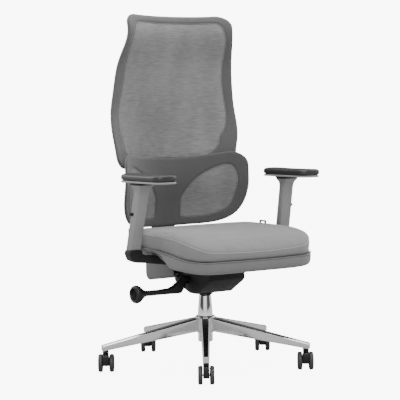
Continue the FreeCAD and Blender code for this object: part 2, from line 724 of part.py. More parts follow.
def make_axles():
    """Seat axle and tilt axle, both fixed in the housing."""
    along_x = Vector(1, 0, 0)
    seat_axle = cylinder("seat_axle", "seat_axle_radius", "case_half * 2 + 16", along_x)
    spot(seat_axle, "-case_half - 8", "-seat_axle_ahead", "seat_axle_up")
    tilt_axle = cylinder("tilt_axle", "tilt_axle_radius", "(case_half + jbar_cheek + 6) * 2", along_x)
    spot(tilt_axle, "-case_half - jbar_cheek - 6", "tilt_axle_back", "tilt_axle_up")
    return [seat_axle, tilt_axle]


def make_tilt_spring():
    """Tilt spring: five coils of round wire between the housing's front wall and its rib."""
    turns = 5
    radius = number("spring_radius")
    wire = number("spring_wire")
    length = number("spring_long") - 2 * wire
    coil = Part.makeHelix(length / turns, length, radius)
    section = Part.Wire(Part.makeCircle(wire, Vector(radius, 0, 0), Vector(0, 1, 0)))
    shape = Part.Wire(coil.Edges).makePipeShell([section], True, True)
    rear_end = Vector(number("case_half / 2"), number("-case_front + case_wall + spring_long - spring_wire"),
                      number("case_low + 62"))
    return feature("tilt_spring", shape, Placement(rear_end, Rotation(Vector(1, 0, 0), 90)))


def make_lever():
    """Height lever: a tongue over the release pin, a pivot, a deep bend and a thin neck with a spindle."""
    plate = prism("lever_plate", "front", [
        ("pin_radius", "lift_top + pin_stand + 0.8"),
        ("pin_radius", "lift_top + pin_stand + 6"),
        ("-lever_pivot_out + 6", "lever_pivot_up + 8"),
        ("-case_half - 5", "lever_pivot_up + 8"),
        ("-case_half - 5", "lever_pivot_up + 14"),
        ("-case_half - 16", "lever_pivot_up + 19"),
        ("-case_half - 29", "lever_pivot_up + 10"),
        ("-case_half - 56", "lever_up + 18"),
        ("-case_half - 76", "lever_up + 10"),
        ("-knob_start", "lever_up + 9"),
        ("-knob_start", "lever_up - 9"),
        ("-case_half - 66", "lever_up - 9"),
        ("-case_half - 28", "lever_up - 11"),
        ("-case_half - 14", "lever_up + 7"),
        ("-case_half - 5", "lever_pivot_up - 8"),
        ("-lever_pivot_out + 12", "lever_pivot_up - 8"),
    ], "-lever_half", "lever_half * 2")
    spindle = spot(cylinder("lever_spindle", "6", "32", Vector(-1, 0, 0)), "-knob_start + 2", "0", "lever_up")
    solid = fuse("lever_solid", [plate, spindle])
    hole = spot(cylinder("lever_hole", "3 + running_gap", "lever_half * 2 + 2", Vector(0, 1, 0)),
                "-lever_pivot_out", "-lever_half - 1", "lever_pivot_up")
    lever = cut("control_lever", solid, [hole])
    pivot = cylinder("pivot_pin", "3", "lever_half * 2 + 12", Vector(0, 1, 0))
    spot(pivot, "-lever_pivot_out", "-lever_half - 6", "lever_pivot_up")
    return [lever, pivot]


def make_pivot_lugs(pivot):
    """Lever pivot: a pin in two lugs that stand out from the housing's side wall beside the lever."""
    lugs = [pivot]
    for index, along in enumerate(("-lever_half - 6", "lever_half + 1")):
        lugs.append(block("pivot_lug_%d" % index,
                          ("-case_half + case_wall", along, "lever_pivot_up - 14"),
                          ("case_half - case_wall - lever_pivot_out + 6", "5", "19")))
    return fuse("lever_pivot", lugs)


def make_knob():
    """Tension knob: a bell on the lever's spindle with a recessed end."""
    body = new_body("tension_knob")
    body.Placement = Placement(Vector(0, 0, 0), Rotation(Vector(0, 0, 1), Vector(-1, 0, 0)))
    spot(body, "-knob_start - moving_gap", "0", "lever_up")
    revolve(body, [
        ("6 + running_gap", "0"),
        ("10", "0"),
        ("12", "6"),
        ("17", "13"),
        ("knob_radius - 4", "22"),
        ("knob_radius", "32"),
        ("knob_radius - 1", "knob_long - 14"),
        ("knob_radius - 5", "knob_long - 4"),
        ("knob_radius - 8", "knob_long"),
        ("knob_radius - 11", "knob_long"),
        ("knob_radius - 13", "knob_long - 8"),
        ("0", "knob_long - 8"),
        ("0", "32"),
        ("6 + running_gap", "32"),
    ])
    return body


# ---------------------------------------------------------------- seat
def rounded_plan(inset):
    """Return the seat's plan outline as a face at height zero, inset from the cushion's edge."""
    half = number("seat_half") - inset
    front = -number("seat_front") + inset
    rear = number("seat_rear") - inset
    corner = number("seat_corner") - inset
    heel = number("seat_heel") - inset
    bow = 6.0
    slant = math.sqrt(0.5)
    edges = [
        Part.LineSegment(Vector(-half, front + corner, 0), Vector(-half, rear - heel, 0)),
        Part.Arc(Vector(-half, rear - heel, 0),
                 Vector(-half + heel * (1 - slant), rear - heel * (1 - slant), 0),
                 Vector(-half + heel, rear, 0)),
        Part.LineSegment(Vector(-half + heel, rear, 0), Vector(half - heel, rear, 0)),
        Part.Arc(Vector(half - heel, rear, 0),
                 Vector(half - heel * (1 - slant), rear - heel * (1 - slant), 0),
                 Vector(half, rear - heel, 0)),
        Part.LineSegment(Vector(half, rear - heel, 0), Vector(half, front + corner, 0)),
        Part.Arc(Vector(half, front + corner, 0),
                 Vector(half - corner * (1 - slant), front + corner * (1 - slant), 0),
                 Vector(half - corner, front, 0)),
        Part.Arc(Vector(half - corner, front, 0), Vector(0, front - bow, 0), Vector(-half + corner, front, 0)),
        Part.Arc(Vector(-half + corner, front, 0),
                 Vector(-half + corner * (1 - slant), front + corner * (1 - slant), 0),
                 Vector(-half, front + corner, 0)),
    ]
    return Part.Face(Part.Wire([edge.toShape() for edge in edges]))


def side_band(lower, upper):
    """Return the solid between two side-view curves, each a list of (along, up) points, across the seat."""
    reach = number("seat_half") + 20
    curves = []
    for points in (lower, upper):
        curve = Part.BSplineCurve()
        curve.interpolate([Vector(-reach, along, up) for along, up in points])
        curves.append(curve)
    ends = [
        Part.LineSegment(curves[0].EndPoint, curves[1].EndPoint).toShape(),
        Part.LineSegment(curves[1].StartPoint, curves[0].StartPoint).toShape(),
    ]
    outline = Part.Wire(Part.sortEdges([curves[0].toShape(), curves[1].toShape()] + ends)[0])
    return Part.Face(outline).extrude(Vector(2 * reach, 0, 0))


def cushion_lower_curve():
    """Return the side-view curve between the cushion and its pan."""
    front = -number("seat_front")
    rear = number("seat_rear")
    low = number("cushion_low")
    flat = number("cushion_flat")
    rise = flat - low
    return [
        (front - 20, low - 2), (front + 20, low + 0.1 * rise), (front + 110, low + 0.55 * rise),
        (front + 200, low + 0.85 * rise), (0, flat), (rear + 20, flat + 4),
    ]


def cushion_upper_curve():
    """Return the side-view curve of the cushion's top: a waterfall front and a nearly level seat."""
    front = -number("seat_front")
    rear = number("seat_rear")
    nose = number("seat_nose")
    top = number("seat_top")
    return [
        (front - 20, nose - 16), (front + 4, nose + 12), (front + 50, top - 20), (front + 130, top - 4),
        (0, top), (rear - 60, top - 4), (rear + 20, top - 24),
    ]


def pan_lower_curve():
    """Return the side-view curve of the pan's lower edge, which sweeps up behind the front lip."""
    front = -number("seat_front")
    rear = number("seat_rear")
    lip = number("pan_lip")
    side = number("pan_side")
    rise = side - lip
    return [
        (front - 20, lip + 10), (front + 12, lip), (front + 70, lip + 0.04 * rise),
        (front + 130, lip + 0.4 * rise), (front + 205, lip + 0.85 * rise), (0, side), (rear + 20, side + 3),
    ]


def make_cushion():
    """Seat cushion: the plan outline cut to the side-view curves."""
    plan = rounded_plan(0.0)
    tall = number("seat_top") + 50
    return feature("seat_cushion", plan.extrude(Vector(0, 0, tall)).common(
        side_band(cushion_lower_curve(), cushion_upper_curve())).removeSplitter())


def pan_dish():
    """Return the room of the pan in the front view: its underside rises towards the sides."""
    half = number("seat_half") + 10
    lip = number("pan_lip")
    top = number("seat_top")
    side = [(0.0, -4.0), (0.35, -2.0), (0.65, 10.0), (0.82, 26.0), (1.0, 46.0)]
    right = [Vector(share * half, 0, lip + rise) for share, rise in side]
    curve = [mirror(point) for point in reversed(right[1:])] + right
    ends = [Vector(half, 0, top), Vector(-half, 0, top)]
    return front_prism([
        spline_edge(curve),
        Part.LineSegment(curve[-1], ends[0]).toShape(),
        Part.LineSegment(ends[0], ends[1]).toShape(),
        Part.LineSegment(ends[1], curve[0]).toShape(),
    ])


def make_pan():
    """Seat pan: a shallow moulded shell under the cushion with a flat mounting block."""
    plan = rounded_plan(number("pan_inset"))
    wall = number("pan_wall")
    shell = plan.extrude(Vector(0, 0, number("seat_top"))).common(
        side_band(pan_lower_curve(), cushion_lower_curve()))
    ceiling = [(along, up - wall) for along, up in cushion_lower_curve()]
    floor = [(along, up - 60) for along, up in cushion_lower_curve()]
    hollow = rounded_plan(number("pan_inset") + 5 * wall).extrude(Vector(0, 0, number("seat_top"))).common(
        side_band(floor, ceiling))
    shell = shell.cut(hollow).common(pan_dish())
    half = number("pad_half")
    low = number("plate_low + plate_thick")
    block_box = Part.makeBox(2 * half, number("plate_front + plate_rear"), number("cushion_flat") - low,
                             Vector(-half, -number("plate_front"), low))
    under_cushion = [(along, up - wall / 4) for along, up in cushion_lower_curve()]
    mount_block = block_box.common(side_band(floor, under_cushion))
    return feature("seat_pan", shell.fuse(mount_block).removeSplitter())


def make_seat_plate():
    """Seat plate: sheet steel with two ears that hang on the seat axle."""
    thick = "jbar_cheek / 2"
    plate = block("plate_sheet", ("-plate_half", "-plate_front", "plate_low"),
                  ("plate_half * 2", "plate_front + plate_rear", "plate_thick"))
    shapes = [plate]
    for name, side in SIDES:
        start = "case_half + 1" if side > 0 else "-case_half - 1 - %s" % thick
        shapes.append(prism("plate_ear_" + name, "side", [
            ("-seat_axle_ahead - 16", "plate_low + plate_thick / 2"),
            ("-seat_axle_ahead - 10", "seat_axle_up - 11"),
            ("-seat_axle_ahead + 10", "seat_axle_up - 11"),
            ("-seat_axle_ahead + 16", "plate_low + plate_thick / 2"),
        ], start, thick))
    solid = fuse("plate_solid", shapes)
    hole = cylinder("plate_hole", "seat_axle_radius + running_gap", "plate_half * 2", Vector(1, 0, 0))
    spot(hole, "-plate_half", "-seat_axle_ahead", "seat_axle_up")
    return cut("seat_plate", solid, [hole])


# ---------------------------------------------------------------- back bracket
def back_face(levels):
    """Return the curved face of a back panel from its levels (height, depth, sideways curvature)."""
    reach = number("waist_half") + 20
    columns = 9
    grid = []
    for up, back, hollow in levels:
        line = []
        for column in range(columns):
            across = -reach + 2 * reach * column / (columns - 1)
            line.append(Vector(across, back - hollow * across * across, up))
        grid.append(line)
    surface = Part.BSplineSurface()
    surface.interpolate(grid)
    return surface.toShape()


def upper_levels():
    """Return the levels of the upper back from below its hem to above its crown."""
    rows = [
        ("hem_up - 60", "hem_back", "hollow_low"),
        ("hem_up + 20", "hem_back + 1", "hollow_low"),
        ("waist_up", "waist_back", "hollow_low * 0.8"),
        ("chest_up - 50", "chest_back + 10", "hollow_mid * 1.1"),
        ("chest_up", "chest_back", "hollow_mid"),
        ("neck_up", "neck_back", "hollow_mid"),
        ("head_up", "head_back", "hollow_top"),
        ("crown_up - 15", "crown_back - 10", "hollow_top"),
        ("crown_up + 20", "crown_back + 12", "hollow_top"),
    ]
    return [tuple(number(text) for text in row) for row in rows]


def lumbar_levels():
    """Return the levels of the lumbar panel from below its foot to above its brow."""
    rows = [
        ("lumbar_low - 20", "lumbar_foot_back"),
        ("lumbar_low + 40", "lumbar_foot_back + 0.5"),
        ("lumbar_low + 90", "lumbar_foot_back - 4"),
        ("lumbar_low + 155", "lumbar_belly_back"),
        ("lumbar_low + 205", "(lumbar_belly_back + lumbar_brow_back) / 2 - 1"),
        ("lumbar_high + 20", "lumbar_brow_back + 6"),
    ]
    return [(number(up), number(back), number("lumbar_hollow")) for up, back in rows]


def front_prism(edges, reach=700.0):
    """Extrude a closed outline on the front plane along +Y, from well ahead of the back."""
    face = Part.Face(Part.Wire(Part.sortEdges(edges)[0]))
    face.translate(Vector(0, -reach / 2, 0))
    return face.extrude(Vector(0, reach, 0))


def mirror(point):
    """Return a point's mirror image on the chair's other side."""
    return Vector(-point.x, point.y, point.z)


def spline_edge(points):
    """Return a smooth edge through points."""
    curve = Part.BSplineCurve()
    curve.interpolate(points)
    return curve.toShape()


def upper_outline(bands, inset_top, inset_low, corner, heel):
    """Return the outline of the upper back, inset by a band at each level from the hem to the crown."""
    rows = [("hem_up", "hem_half"), ("waist_up", "waist_half"), ("chest_up", "chest_half"),
            ("neck_up", "neck_half"), ("head_up", "head_half"), ("crown_up", "crown_half")]
    halves = [number(half) - band for (up, half), band in zip(rows, bands)]
    levels = [number(up) for up, half in rows]
    top = levels[-1] - inset_top
    low = levels[0] + inset_low
    slant = 1 - math.sqrt(0.5)
    crown = halves[-1]
    right = [Vector(halves[0], 0, low + heel)]
    right += [Vector(half, 0, up) for half, up in zip(halves[1:-1], levels[1:-1])]
    right.append(Vector(crown + 0.3 * corner, 0, top - corner))
    left = [mirror(point) for point in right]
    top_right = Vector(crown - corner, 0, top)
    corner_mid = Vector(crown + 0.1 * corner - corner * slant, 0, top - corner * slant)
    heel_end = Vector(halves[0] - heel, 0, low)
    heel_mid = Vector(halves[0] - heel * slant, 0, low + heel * slant)
    return [
        spline_edge(right),
        Part.Arc(right[-1], corner_mid, top_right).toShape(),
        Part.Arc(top_right, Vector(0, 0, top - number("crown_dip")), mirror(top_right)).toShape(),
        Part.Arc(mirror(top_right), mirror(corner_mid), left[-1]).toShape(),
        spline_edge(left),
        Part.Arc(left[0], mirror(heel_mid), mirror(heel_end)).toShape(),
        Part.LineSegment(mirror(heel_end), heel_end).toShape(),
        Part.Arc(heel_end, heel_mid, right[0]).toShape(),
    ]


def frame_outline():
    """Return the outer outline of the upper back."""
    return upper_outline([0.0] * 6, 0.0, 0.0, number("crown_corner"), number("hem_corner"))


def mesh_outline():
    """Return the outline of the mesh panel inside the back frame."""
    crown = number("band_crown")
    chest = number("band_chest")
    waist = number("band_waist")
    return upper_outline([waist, waist, chest, (chest + crown) / 2, crown, crown], number("band_top"),
                         number("band_low"), 22.0, 1.2 * number("hem_corner"))


def lumbar_outline():
    """Return the outline of the lumbar panel: a dished top edge, round shoulders and a full round foot."""
    half = number("lumbar_half")
    low = number("lumbar_low")
    high = number("lumbar_high")
    corner = number("lumbar_corner")
    slant = 1 - math.sqrt(0.5)
    waist = (half, high - corner - 40)
    foot = [(0.42 * half, low + 3), (0.72 * half, low + 14), (0.88 * half, low + 38), (0.97 * half, low + 78)]
    side = [Vector(across, 0, up) for across, up in foot + [waist]]
    shoulder = Vector(half, 0, high - corner)
    shoulder_mid = Vector(half - corner * slant, 0, high - corner * slant)
    shoulder_end = Vector(half - corner, 0, high)
    return [
        spline_edge([mirror(point) for point in reversed(side)] + [Vector(0, 0, low)] + side),
        Part.LineSegment(side[-1], shoulder).toShape(),
        Part.Arc(shoulder, shoulder_mid, shoulder_end).toShape(),
        Part.Arc(shoulder_end, Vector(0, 0, high - number("lumbar_dip")), mirror(shoulder_end)).toShape(),
        Part.Arc(mirror(shoulder_end), mirror(shoulder_mid), mirror(shoulder)).toShape(),
        Part.LineSegment(mirror(shoulder), mirror(side[-1])).toShape(),
    ]


def window_outline(side):
    """Return the leaf-shaped outline of one lumbar window."""
    inner = number("lumbar_web")
    width = number("lumbar_half - lumbar_band") - inner
    low = number("lumbar_low + lumbar_band")
    rise = number("lumbar_high - lumbar_band - 14") - low
    shares = [(0.02, 0.0), (0.36, 0.0), (0.68, 0.06), (0.90, 0.19), (0.98, 0.45), (1.0, 0.8), (0.9, 1.0),
              (0.67, 0.96), (0.38, 0.81), (0.14, 0.60), (0.0, 0.38)]
    spots = [Vector(side * (inner + across * width), 0, low + up * rise) for across, up in shares]
    return [spline_edge(spots), Part.LineSegment(spots[-1], spots[0]).toShape()]


def slab(face, thick, ahead=0.0):
    """Thicken a curved face rearwards, starting ahead of it or behind it."""
    moved = face.copy()
    moved.translate(Vector(0, -ahead, 0))
    return moved.extrude(Vector(0, thick, 0))


def frame_slab():
    """Return the slab of the back frame, whose middle surface is the mesh."""
    thick = number("back_thick")
    return slab(back_face(upper_levels()), thick, ahead=thick / 2).common(front_prism(frame_outline()))


def make_upper_back():
    """Back frame, a ring cut from a curved slab, and the mesh panel stretched in it."""
    inside = front_prism(mesh_outline())
    panel = slab(back_face(upper_levels()), number("mesh_thick")).common(inside)
    return [feature("back_frame", frame_slab().cut(inside)), feature("back_mesh", panel)]


def make_lumbar():
    """Lumbar panel with two windows, and the mesh that fills them."""
    face = back_face(lumbar_levels())
    outside = front_prism(lumbar_outline())
    windows = [front_prism(window_outline(side)) for name, side in SIDES]
    panel = slab(face, number("lumbar_thick")).common(outside)
    mesh = slab(face, number("mesh_thick"), ahead=-3.0).common(outside)
    return [
        feature("lumbar_panel", panel.cut(windows)),
        feature("lumbar_mesh", Part.makeCompound([mesh.common(window) for window in windows])),
    ]


def spine_profile():
    """Return the spine's side outline, from the bracket's block up to the back frame."""
    front = [
        ("jbar_rear - 34", "jbar_top - 20"),
        ("jbar_rear - 22", "jbar_top + 20"),
        ("lumbar_foot_back + 4", "lumbar_low - 18"),
        ("lumbar_foot_back + lumbar_thick + 6", "lumbar_low - 4"),
        ("hem_back", "hinge_up"),
        ("hem_back + 4", "spine_top"),
    ]
    back = [
        ("hem_back + 16 + spine_thick", "spine_top"),
        ("hem_back + 4 + spine_thick", "hinge_up"),
        ("lumbar_foot_back + lumbar_thick + 8 + spine_thick", "lumbar_low + 12"),
        ("jbar_rear + spine_thick - 4", "jbar_top + 40"),
        ("jbar_rear", "jbar_top - 20"),
    ]
    return front + back


def yoke_outline():
    """Return the front outline of the yoke that spreads the spine's load along the back frame."""
    foot = number("spine_half")
    reach = number("yoke_half")
    low = number("hem_up - 40")
    high = number("spine_top")
    corners = [Vector(foot, 0, low), Vector(reach - 12, 0, high - 34), Vector(reach, 0, high - 20),
               Vector(reach - 4, 0, high), Vector(foot, 0, high + 6)]
    corners += [mirror(corner) for corner in reversed(corners)]
    return [Part.LineSegment(corner, corners[(index + 1) % len(corners)]).toShape()
            for index, corner in enumerate(corners)]


def hinge_ear(name, side):
    """Return one ear of the lumbar hinge, whose rear half is let into the spine."""
    return block(name, ("%g * 25 - 5" % side, "hem_back - 18", "hinge_up - 9"), ("10", "27", "18"))


def make_back_bracket():
    """Back bracket: two cheeks on the tilt axle, a block behind the housing and the upright spine."""
    shapes = [
        block("jbar_block", ("-jbar_half", "jbar_front", "jbar_low"),
              ("jbar_half * 2", "jbar_rear - jbar_front", "jbar_top - jbar_low")),
        prism("jbar_spine", "side", spine_profile(), "-spine_half", "spine_half * 2"),
    ]
    for name, side in SIDES:
        start = "case_half + 1.5" if side > 0 else "-case_half - 1.5 - jbar_cheek"
        shapes.append(prism("jbar_cheek_" + name, "side", [
            ("tilt_axle_back - 15", "tilt_axle_up - 6"),
            ("tilt_axle_back - 6", "tilt_axle_up - 15"),
            ("tilt_axle_back + 8", "tilt_axle_up - 15"),
            ("jbar_front + 10", "jbar_low + 1"),
            ("jbar_front + 10", "jbar_low + 26"),
            ("tilt_axle_back + 8", "tilt_axle_up + 15"),
            ("tilt_axle_back - 6", "tilt_axle_up + 15"),
            ("tilt_axle_back - 15", "tilt_axle_up + 6"),
        ], start, "jbar_cheek"))
    yoke = doc.addObject("Part::Feature", "jbar_yoke")
    yoke.Shape = slab(back_face(upper_levels()), number("yoke_thick"), ahead=1 - number("back_thick") / 2).common(
        front_prism(yoke_outline()))
    solid = fuse("jbar_solid", shapes + [yoke])
    ear_rooms = [hinge_ear("ear_room_" + name, side) for name, side in SIDES]
    hole = cylinder("jbar_hole", "tilt_axle_radius + running_gap", "jbar_half * 3", Vector(1, 0, 0))
    spot(hole, "-jbar_half * 1.5", "tilt_axle_back", "tilt_axle_up")
    frame_room = doc.addObject("Part::Feature", "frame_room")
    frame_room.Shape = frame_slab()
    return cut("back_bracket", solid, [hole, frame_room] + ear_rooms)


def make_spine_cover():
    """Grey cover: a round-bottomed tray under the bracket's block, open at its front and top."""
    wall = "cover_wall"
    gap = "2"
    outer = prism("cover_outer", "front", [
        ("-jbar_half - 5 + cover_round", "jbar_low - 5"),
        ("jbar_half + 5 - cover_round", "jbar_low - 5"),
        ("jbar_half + 5 - cover_round * 0.3", "jbar_low - 5 + cover_round * 0.25"),
        ("jbar_half + 5", "jbar_low - 5 + cover_round"),
        ("jbar_half + 7", "jbar_top + 6"),
        ("-jbar_half - 7", "jbar_top + 6"),
        ("-jbar_half - 5", "jbar_low - 5 + cover_round"),
        ("-jbar_half - 5 + cover_round * 0.3", "jbar_low - 5 + cover_round * 0.25"),
    ], "-jbar_rear - 6", "jbar_rear - jbar_front + 10")
    inner = block("cover_inner", ("-jbar_half - %s" % gap, "jbar_front - 10", "jbar_low"),
                  ("(jbar_half + %s) * 2" % gap, "jbar_rear - jbar_front + 11", "jbar_top - jbar_low + 10"))
    slot = block("cover_slot", ("-spine_half - 1", "jbar_rear - 40", "jbar_low + 12"),
                 ("(spine_half + 1) * 2", "60", "jbar_top - jbar_low + 10"))
    return cut("spine_cover", outer, [inner, slot])


def make_lumbar_hinge():
    """Lumbar hinge: a pin in two ears on the spine, and a knuckle on the lumbar panel."""
    pin_back = "hem_back - 11"
    pin = cylinder("lumbar_pin", "hinge_radius", "60", Vector(1, 0, 0))
    spot(pin, "-30", pin_back, "hinge_up")
    ears = [pin]
    ears += [hinge_ear("lumbar_ear_" + name, side) for name, side in SIDES]
    hinge = fuse("lumbar_hinge", ears)
    knuckle = block("knuckle_block", ("-19", "lumbar_belly_back + 10", "hinge_up - 10"),
                    ("38", "hem_back - lumbar_belly_back - 13", "20"))
    bore = cylinder("knuckle_bore", "hinge_radius + running_gap", "60", Vector(1, 0, 0))
    spot(bore, "-30", pin_back, "hinge_up")
    panel_room = doc.addObject("Part::Feature", "panel_room")
    panel_room.Shape = slab(back_face(lumbar_levels()), number("lumbar_thick")).common(
        front_prism(lumbar_outline()))
    return [hinge, cut("lumbar_knuckle", knuckle, [bore, panel_room])]


# ---------------------------------------------------------------- arms
def post_rotation(side):
    """Return the rotation that leans a post's own Z axis along its slide."""
    lean = Vector(side * number("post_head_out - post_foot_out"), -number("post_head_ahead - post_foot_ahead"),
                  number("post_head_up - post_foot_up"))
    return Rotation(Vector(0, 0, 1), lean)


def post_length():
    """Return the length of a post along its slide."""
    return math.sqrt(number("(post_head_out - post_foot_out)^2 + (post_head_ahead - post_foot_ahead)^2"
                            " + (post_head_up - post_foot_up)^2"))


def bevelled(half_wide, half_deep, bevel):
    """Return the corners of a rectangle with cut corners, as expressions."""
    return [
        ("-%s + %s" % (half_wide, bevel), "-%s" % half_deep), ("%s - %s" % (half_wide, bevel), "-%s" % half_deep),
        (half_wide, "-%s + %s" % (half_deep, bevel)), (half_wide, "%s - %s" % (half_deep, bevel)),
        ("%s - %s" % (half_wide, bevel), half_deep), ("-%s + %s" % (half_wide, bevel), half_deep),
        ("-%s" % half_wide, "%s - %s" % (half_deep, bevel)), ("-%s" % half_wide, "-%s + %s" % (half_deep, bevel)),
    ]


def make_arm(name, side):
    """One arm: bracket, inner upright, outer sleeve with its button, pad tray and soft pad."""
    sign = "%g * " % side
    rotation = post_rotation(side)
    foot = (sign + "post_foot_out", "-post_foot_ahead", "post_foot_up")

    upright = new_body("arm_upright_" + name)
    upright.Placement = Placement(Vector(0, 0, 0), rotation)
    spot(upright, *foot)
    inner_sketch = body_sketch(upright, upright.Name + "Outline", "XY_Plane", "-12")
    draw_outline(inner_sketch, bevelled("(post_wide / 2 - post_wall - moving_gap)",
                                        "(post_deep / 2 - post_wall - moving_gap)", "3"))
    add_feature(upright, "Pad", inner_sketch, "tube_long + 12")

    tube = new_body("sleeve_tube_" + name)
    tube.Placement = Placement(Vector(0, 0, 0), rotation)
    spot(tube, *foot)
    outer_sketch = body_sketch(tube, tube.Name + "Outline", "XY_Plane", "-8")
    draw_outline(outer_sketch, bevelled("post_wide / 2", "post_deep / 2", "post_bevel"))
    add_feature(tube, "Pad", outer_sketch, "%.3f" % (post_length() + 24))
    hollow_sketch = body_sketch(tube, tube.Name + "Hollow", "XY_Plane", "-9")
    draw_outline(hollow_sketch, bevelled("(post_wide / 2 - post_wall)", "(post_deep / 2 - post_wall)", "3"))
    add_feature(tube, "Pocket", hollow_sketch, "tube_long + 13", backwards=True)
    button_hole = body_sketch(tube, tube.Name + "ButtonHole", "YZ_Plane")
    draw_circle(button_hole, "0", "button_up - post_foot_up", "button_radius + 2 * running_gap")
    add_feature(tube, "Pocket", button_hole, "post_wide", backwards=side > 0)
    head_low = "tray_low - slider_thick - head_thick"
    flare = prism("sleeve_head_" + name, "plan", [
        (sign + "post_head_out - head_wide / 2 + 8", "-post_head_ahead - head_deep / 2"),
        (sign + "post_head_out + head_wide / 2 - 8", "-post_head_ahead - head_deep / 2"),
        (sign + "post_head_out + head_wide / 2", "-post_head_ahead - head_deep / 2 + 8"),
        (sign + "post_head_out + head_wide / 2", "-post_head_ahead + head_deep / 2 - 8"),
        (sign + "post_head_out + head_wide / 2 - 8", "-post_head_ahead + head_deep / 2"),
        (sign + "post_head_out - head_wide / 2 + 8", "-post_head_ahead + head_deep / 2"),
        (sign + "post_head_out - head_wide / 2", "-post_head_ahead + head_deep / 2 - 8"),
        (sign + "post_head_out - head_wide / 2", "-post_head_ahead - head_deep / 2 + 8"),
    ], head_low, "head_thick - moving_gap")
    corner_low = (sign + "post_foot_out - 60", "-post_foot_ahead - 90")
    above = block("sleeve_above_" + name, corner_low + ("tray_low - slider_thick - moving_gap",),
                  ("120", "160", "40"))
    below = block("sleeve_below_" + name, corner_low + ("post_foot_up + moving_gap - 30",), ("120", "160", "30"))
    sleeve = cut("arm_sleeve_" + name, fuse("sleeve_solid_" + name, [tube, flare]), [above, below])

    button = cylinder("arm_button_" + name, "button_radius", "button_long", Vector(side, 0, 0))
    button.Placement = Placement(Vector(0, 0, 0), rotation.multiply(Rotation(Vector(0, 0, 1), Vector(side, 0, 0))))
    local = rotation.multVec(Vector(side * (number("post_wide") / 2 - number("post_wall") / 2), 0,
                                    number("button_up - post_foot_up")))
    spot(button, sign + "post_foot_out + %.4f" % local.x, "-post_foot_ahead + %.4f" % local.y,
         "post_foot_up + %.4f" % local.z)

    outline = [
        ("bracket_inner", "plate_low + plate_thick"),
        ("bracket_inner + 50", "plate_low + plate_thick"),
        ("post_foot_out - 46", "bracket_low - 4"),
        ("post_foot_out + post_wide / 2 + 3 - bracket_round", "bracket_low"),
        ("post_foot_out + post_wide / 2 + 3 - bracket_round * 0.3", "bracket_low + bracket_round * 0.3"),
        ("post_foot_out + post_wide / 2 + 3", "bracket_low + bracket_round"),
        ("post_foot_out + post_wide / 2 + 1", "post_foot_up"),
        ("post_foot_out - post_wide / 2 - 1", "post_foot_up"),
        ("post_foot_out - post_wide / 2 - 3", "post_foot_up - 14"),
        ("post_foot_out - post_wide / 2 - 20", "pan_side - 3"),
        ("bracket_inner + 70", "pan_side - 12"),
        ("bracket_inner", "pan_side - 22"),
    ]
    if side < 0:
        outline = [("-(%s)" % across, up) for across, up in outline]
    bar = prism("bracket_bar_" + name, "front", outline, "post_foot_ahead - bracket_deep / 2", "bracket_deep")
    loop_low = "bracket_low + 6"
    loop_start = "loop_out - 3" if side > 0 else "-loop_out - 3"
    strap = block("bracket_strap_" + name,
                  (loop_start, "-post_foot_ahead", loop_low),
                  ("6", "post_foot_ahead + loop_back", "12"))
    loop = block("bracket_loop_" + name, (loop_start, "loop_back - loop_wide", loop_low),
                 ("6", "loop_wide", "loop_up - (%s)" % loop_low))
    eye = block("bracket_eye_" + name, (loop_start + " - 1", "loop_back - loop_wide + 6", "loop_up - 22"),
                ("8", "loop_wide - 12", "16"))
    ring = cut("bracket_ring_" + name, loop, [eye])
    socket = doc.addObject("Part::Box", "bracket_socket_" + name)
    socket.Placement = Placement(Vector(0, 0, 0), rotation)
    corner = rotation.multVec(Vector(-number("post_wide / 2 - post_wall - moving_gap"),
                                     -number("post_deep / 2 - post_wall - moving_gap"), -12.0))
    spot(socket, sign + "post_foot_out + %.4f" % corner.x, "-post_foot_ahead + %.4f" % corner.y,
         "post_foot_up + %.4f" % corner.z)
    bind(socket, {"Length": "post_wide - 2 * post_wall - 2 * moving_gap",
                  "Width": "post_deep - 2 * post_wall - 2 * moving_gap", "Height": "30"})
    bracket = cut("arm_bracket_" + name, fuse("bracket_solid_" + name, [bar, strap, ring]), [socket])

    tray = new_body("pad_tray_" + name)
    spot(tray, sign + "pad_out", "-pad_ahead", "tray_low")
    tray_sketch = body_sketch(tray, tray.Name + "Outline", "XY_Plane")
    draw_outline(tray_sketch, bevelled("pad_wide / 2", "pad_long / 2", "pad_corner * 0.6"))
    add_feature(tray, "Pad", tray_sketch, "tray_thick")
    swivel_hole = body_sketch(tray, tray.Name + "SwivelHole", "XY_Plane")
    draw_circle(swivel_hole, sign + "(post_head_out - pad_out)", "pad_ahead - post_head_ahead",
                "swivel_radius + running_gap")
    add_feature(tray, "Pocket", swivel_hole, "swivel_tall + moving_gap", backwards=True)

    pad = new_body("arm_pad_" + name)
    spot(pad, sign + "pad_out", "-pad_ahead", "tray_low + tray_thick")
    pad_sketch = body_sketch(pad, pad.Name + "Outline", "XY_Plane")
    draw_outline(pad_sketch, bevelled("pad_wide / 2 + 1", "pad_long / 2 + 1", "pad_corner * 0.6"))
    add_feature(pad, "Pad", pad_sketch, "pad_thick")

    head = prism("slider_head_" + name, "plan", [
        (sign + "post_head_out - post_wide / 2 - 8", "-post_head_ahead - post_deep / 2 - 12"),
        (sign + "post_head_out + post_wide / 2 + 8", "-post_head_ahead - post_deep / 2 - 12"),
        (sign + "post_head_out + post_wide / 2 + 8", "-post_head_ahead + post_deep / 2 + 12"),
        (sign + "post_head_out - post_wide / 2 - 8", "-post_head_ahead + post_deep / 2 + 12"),
    ], "tray_low - slider_thick", "slider_thick - moving_gap")
    pin = cylinder("swivel_pin_" + name, "swivel_radius", "slider_thick + swivel_tall - moving_gap")
    spot(pin, sign + "post_head_out", "-post_head_ahead", "tray_low - slider_thick")
    slider = fuse("pad_slider_" + name, [head, pin])
    return [bracket, upright, sleeve, button, slider, tray, pad]


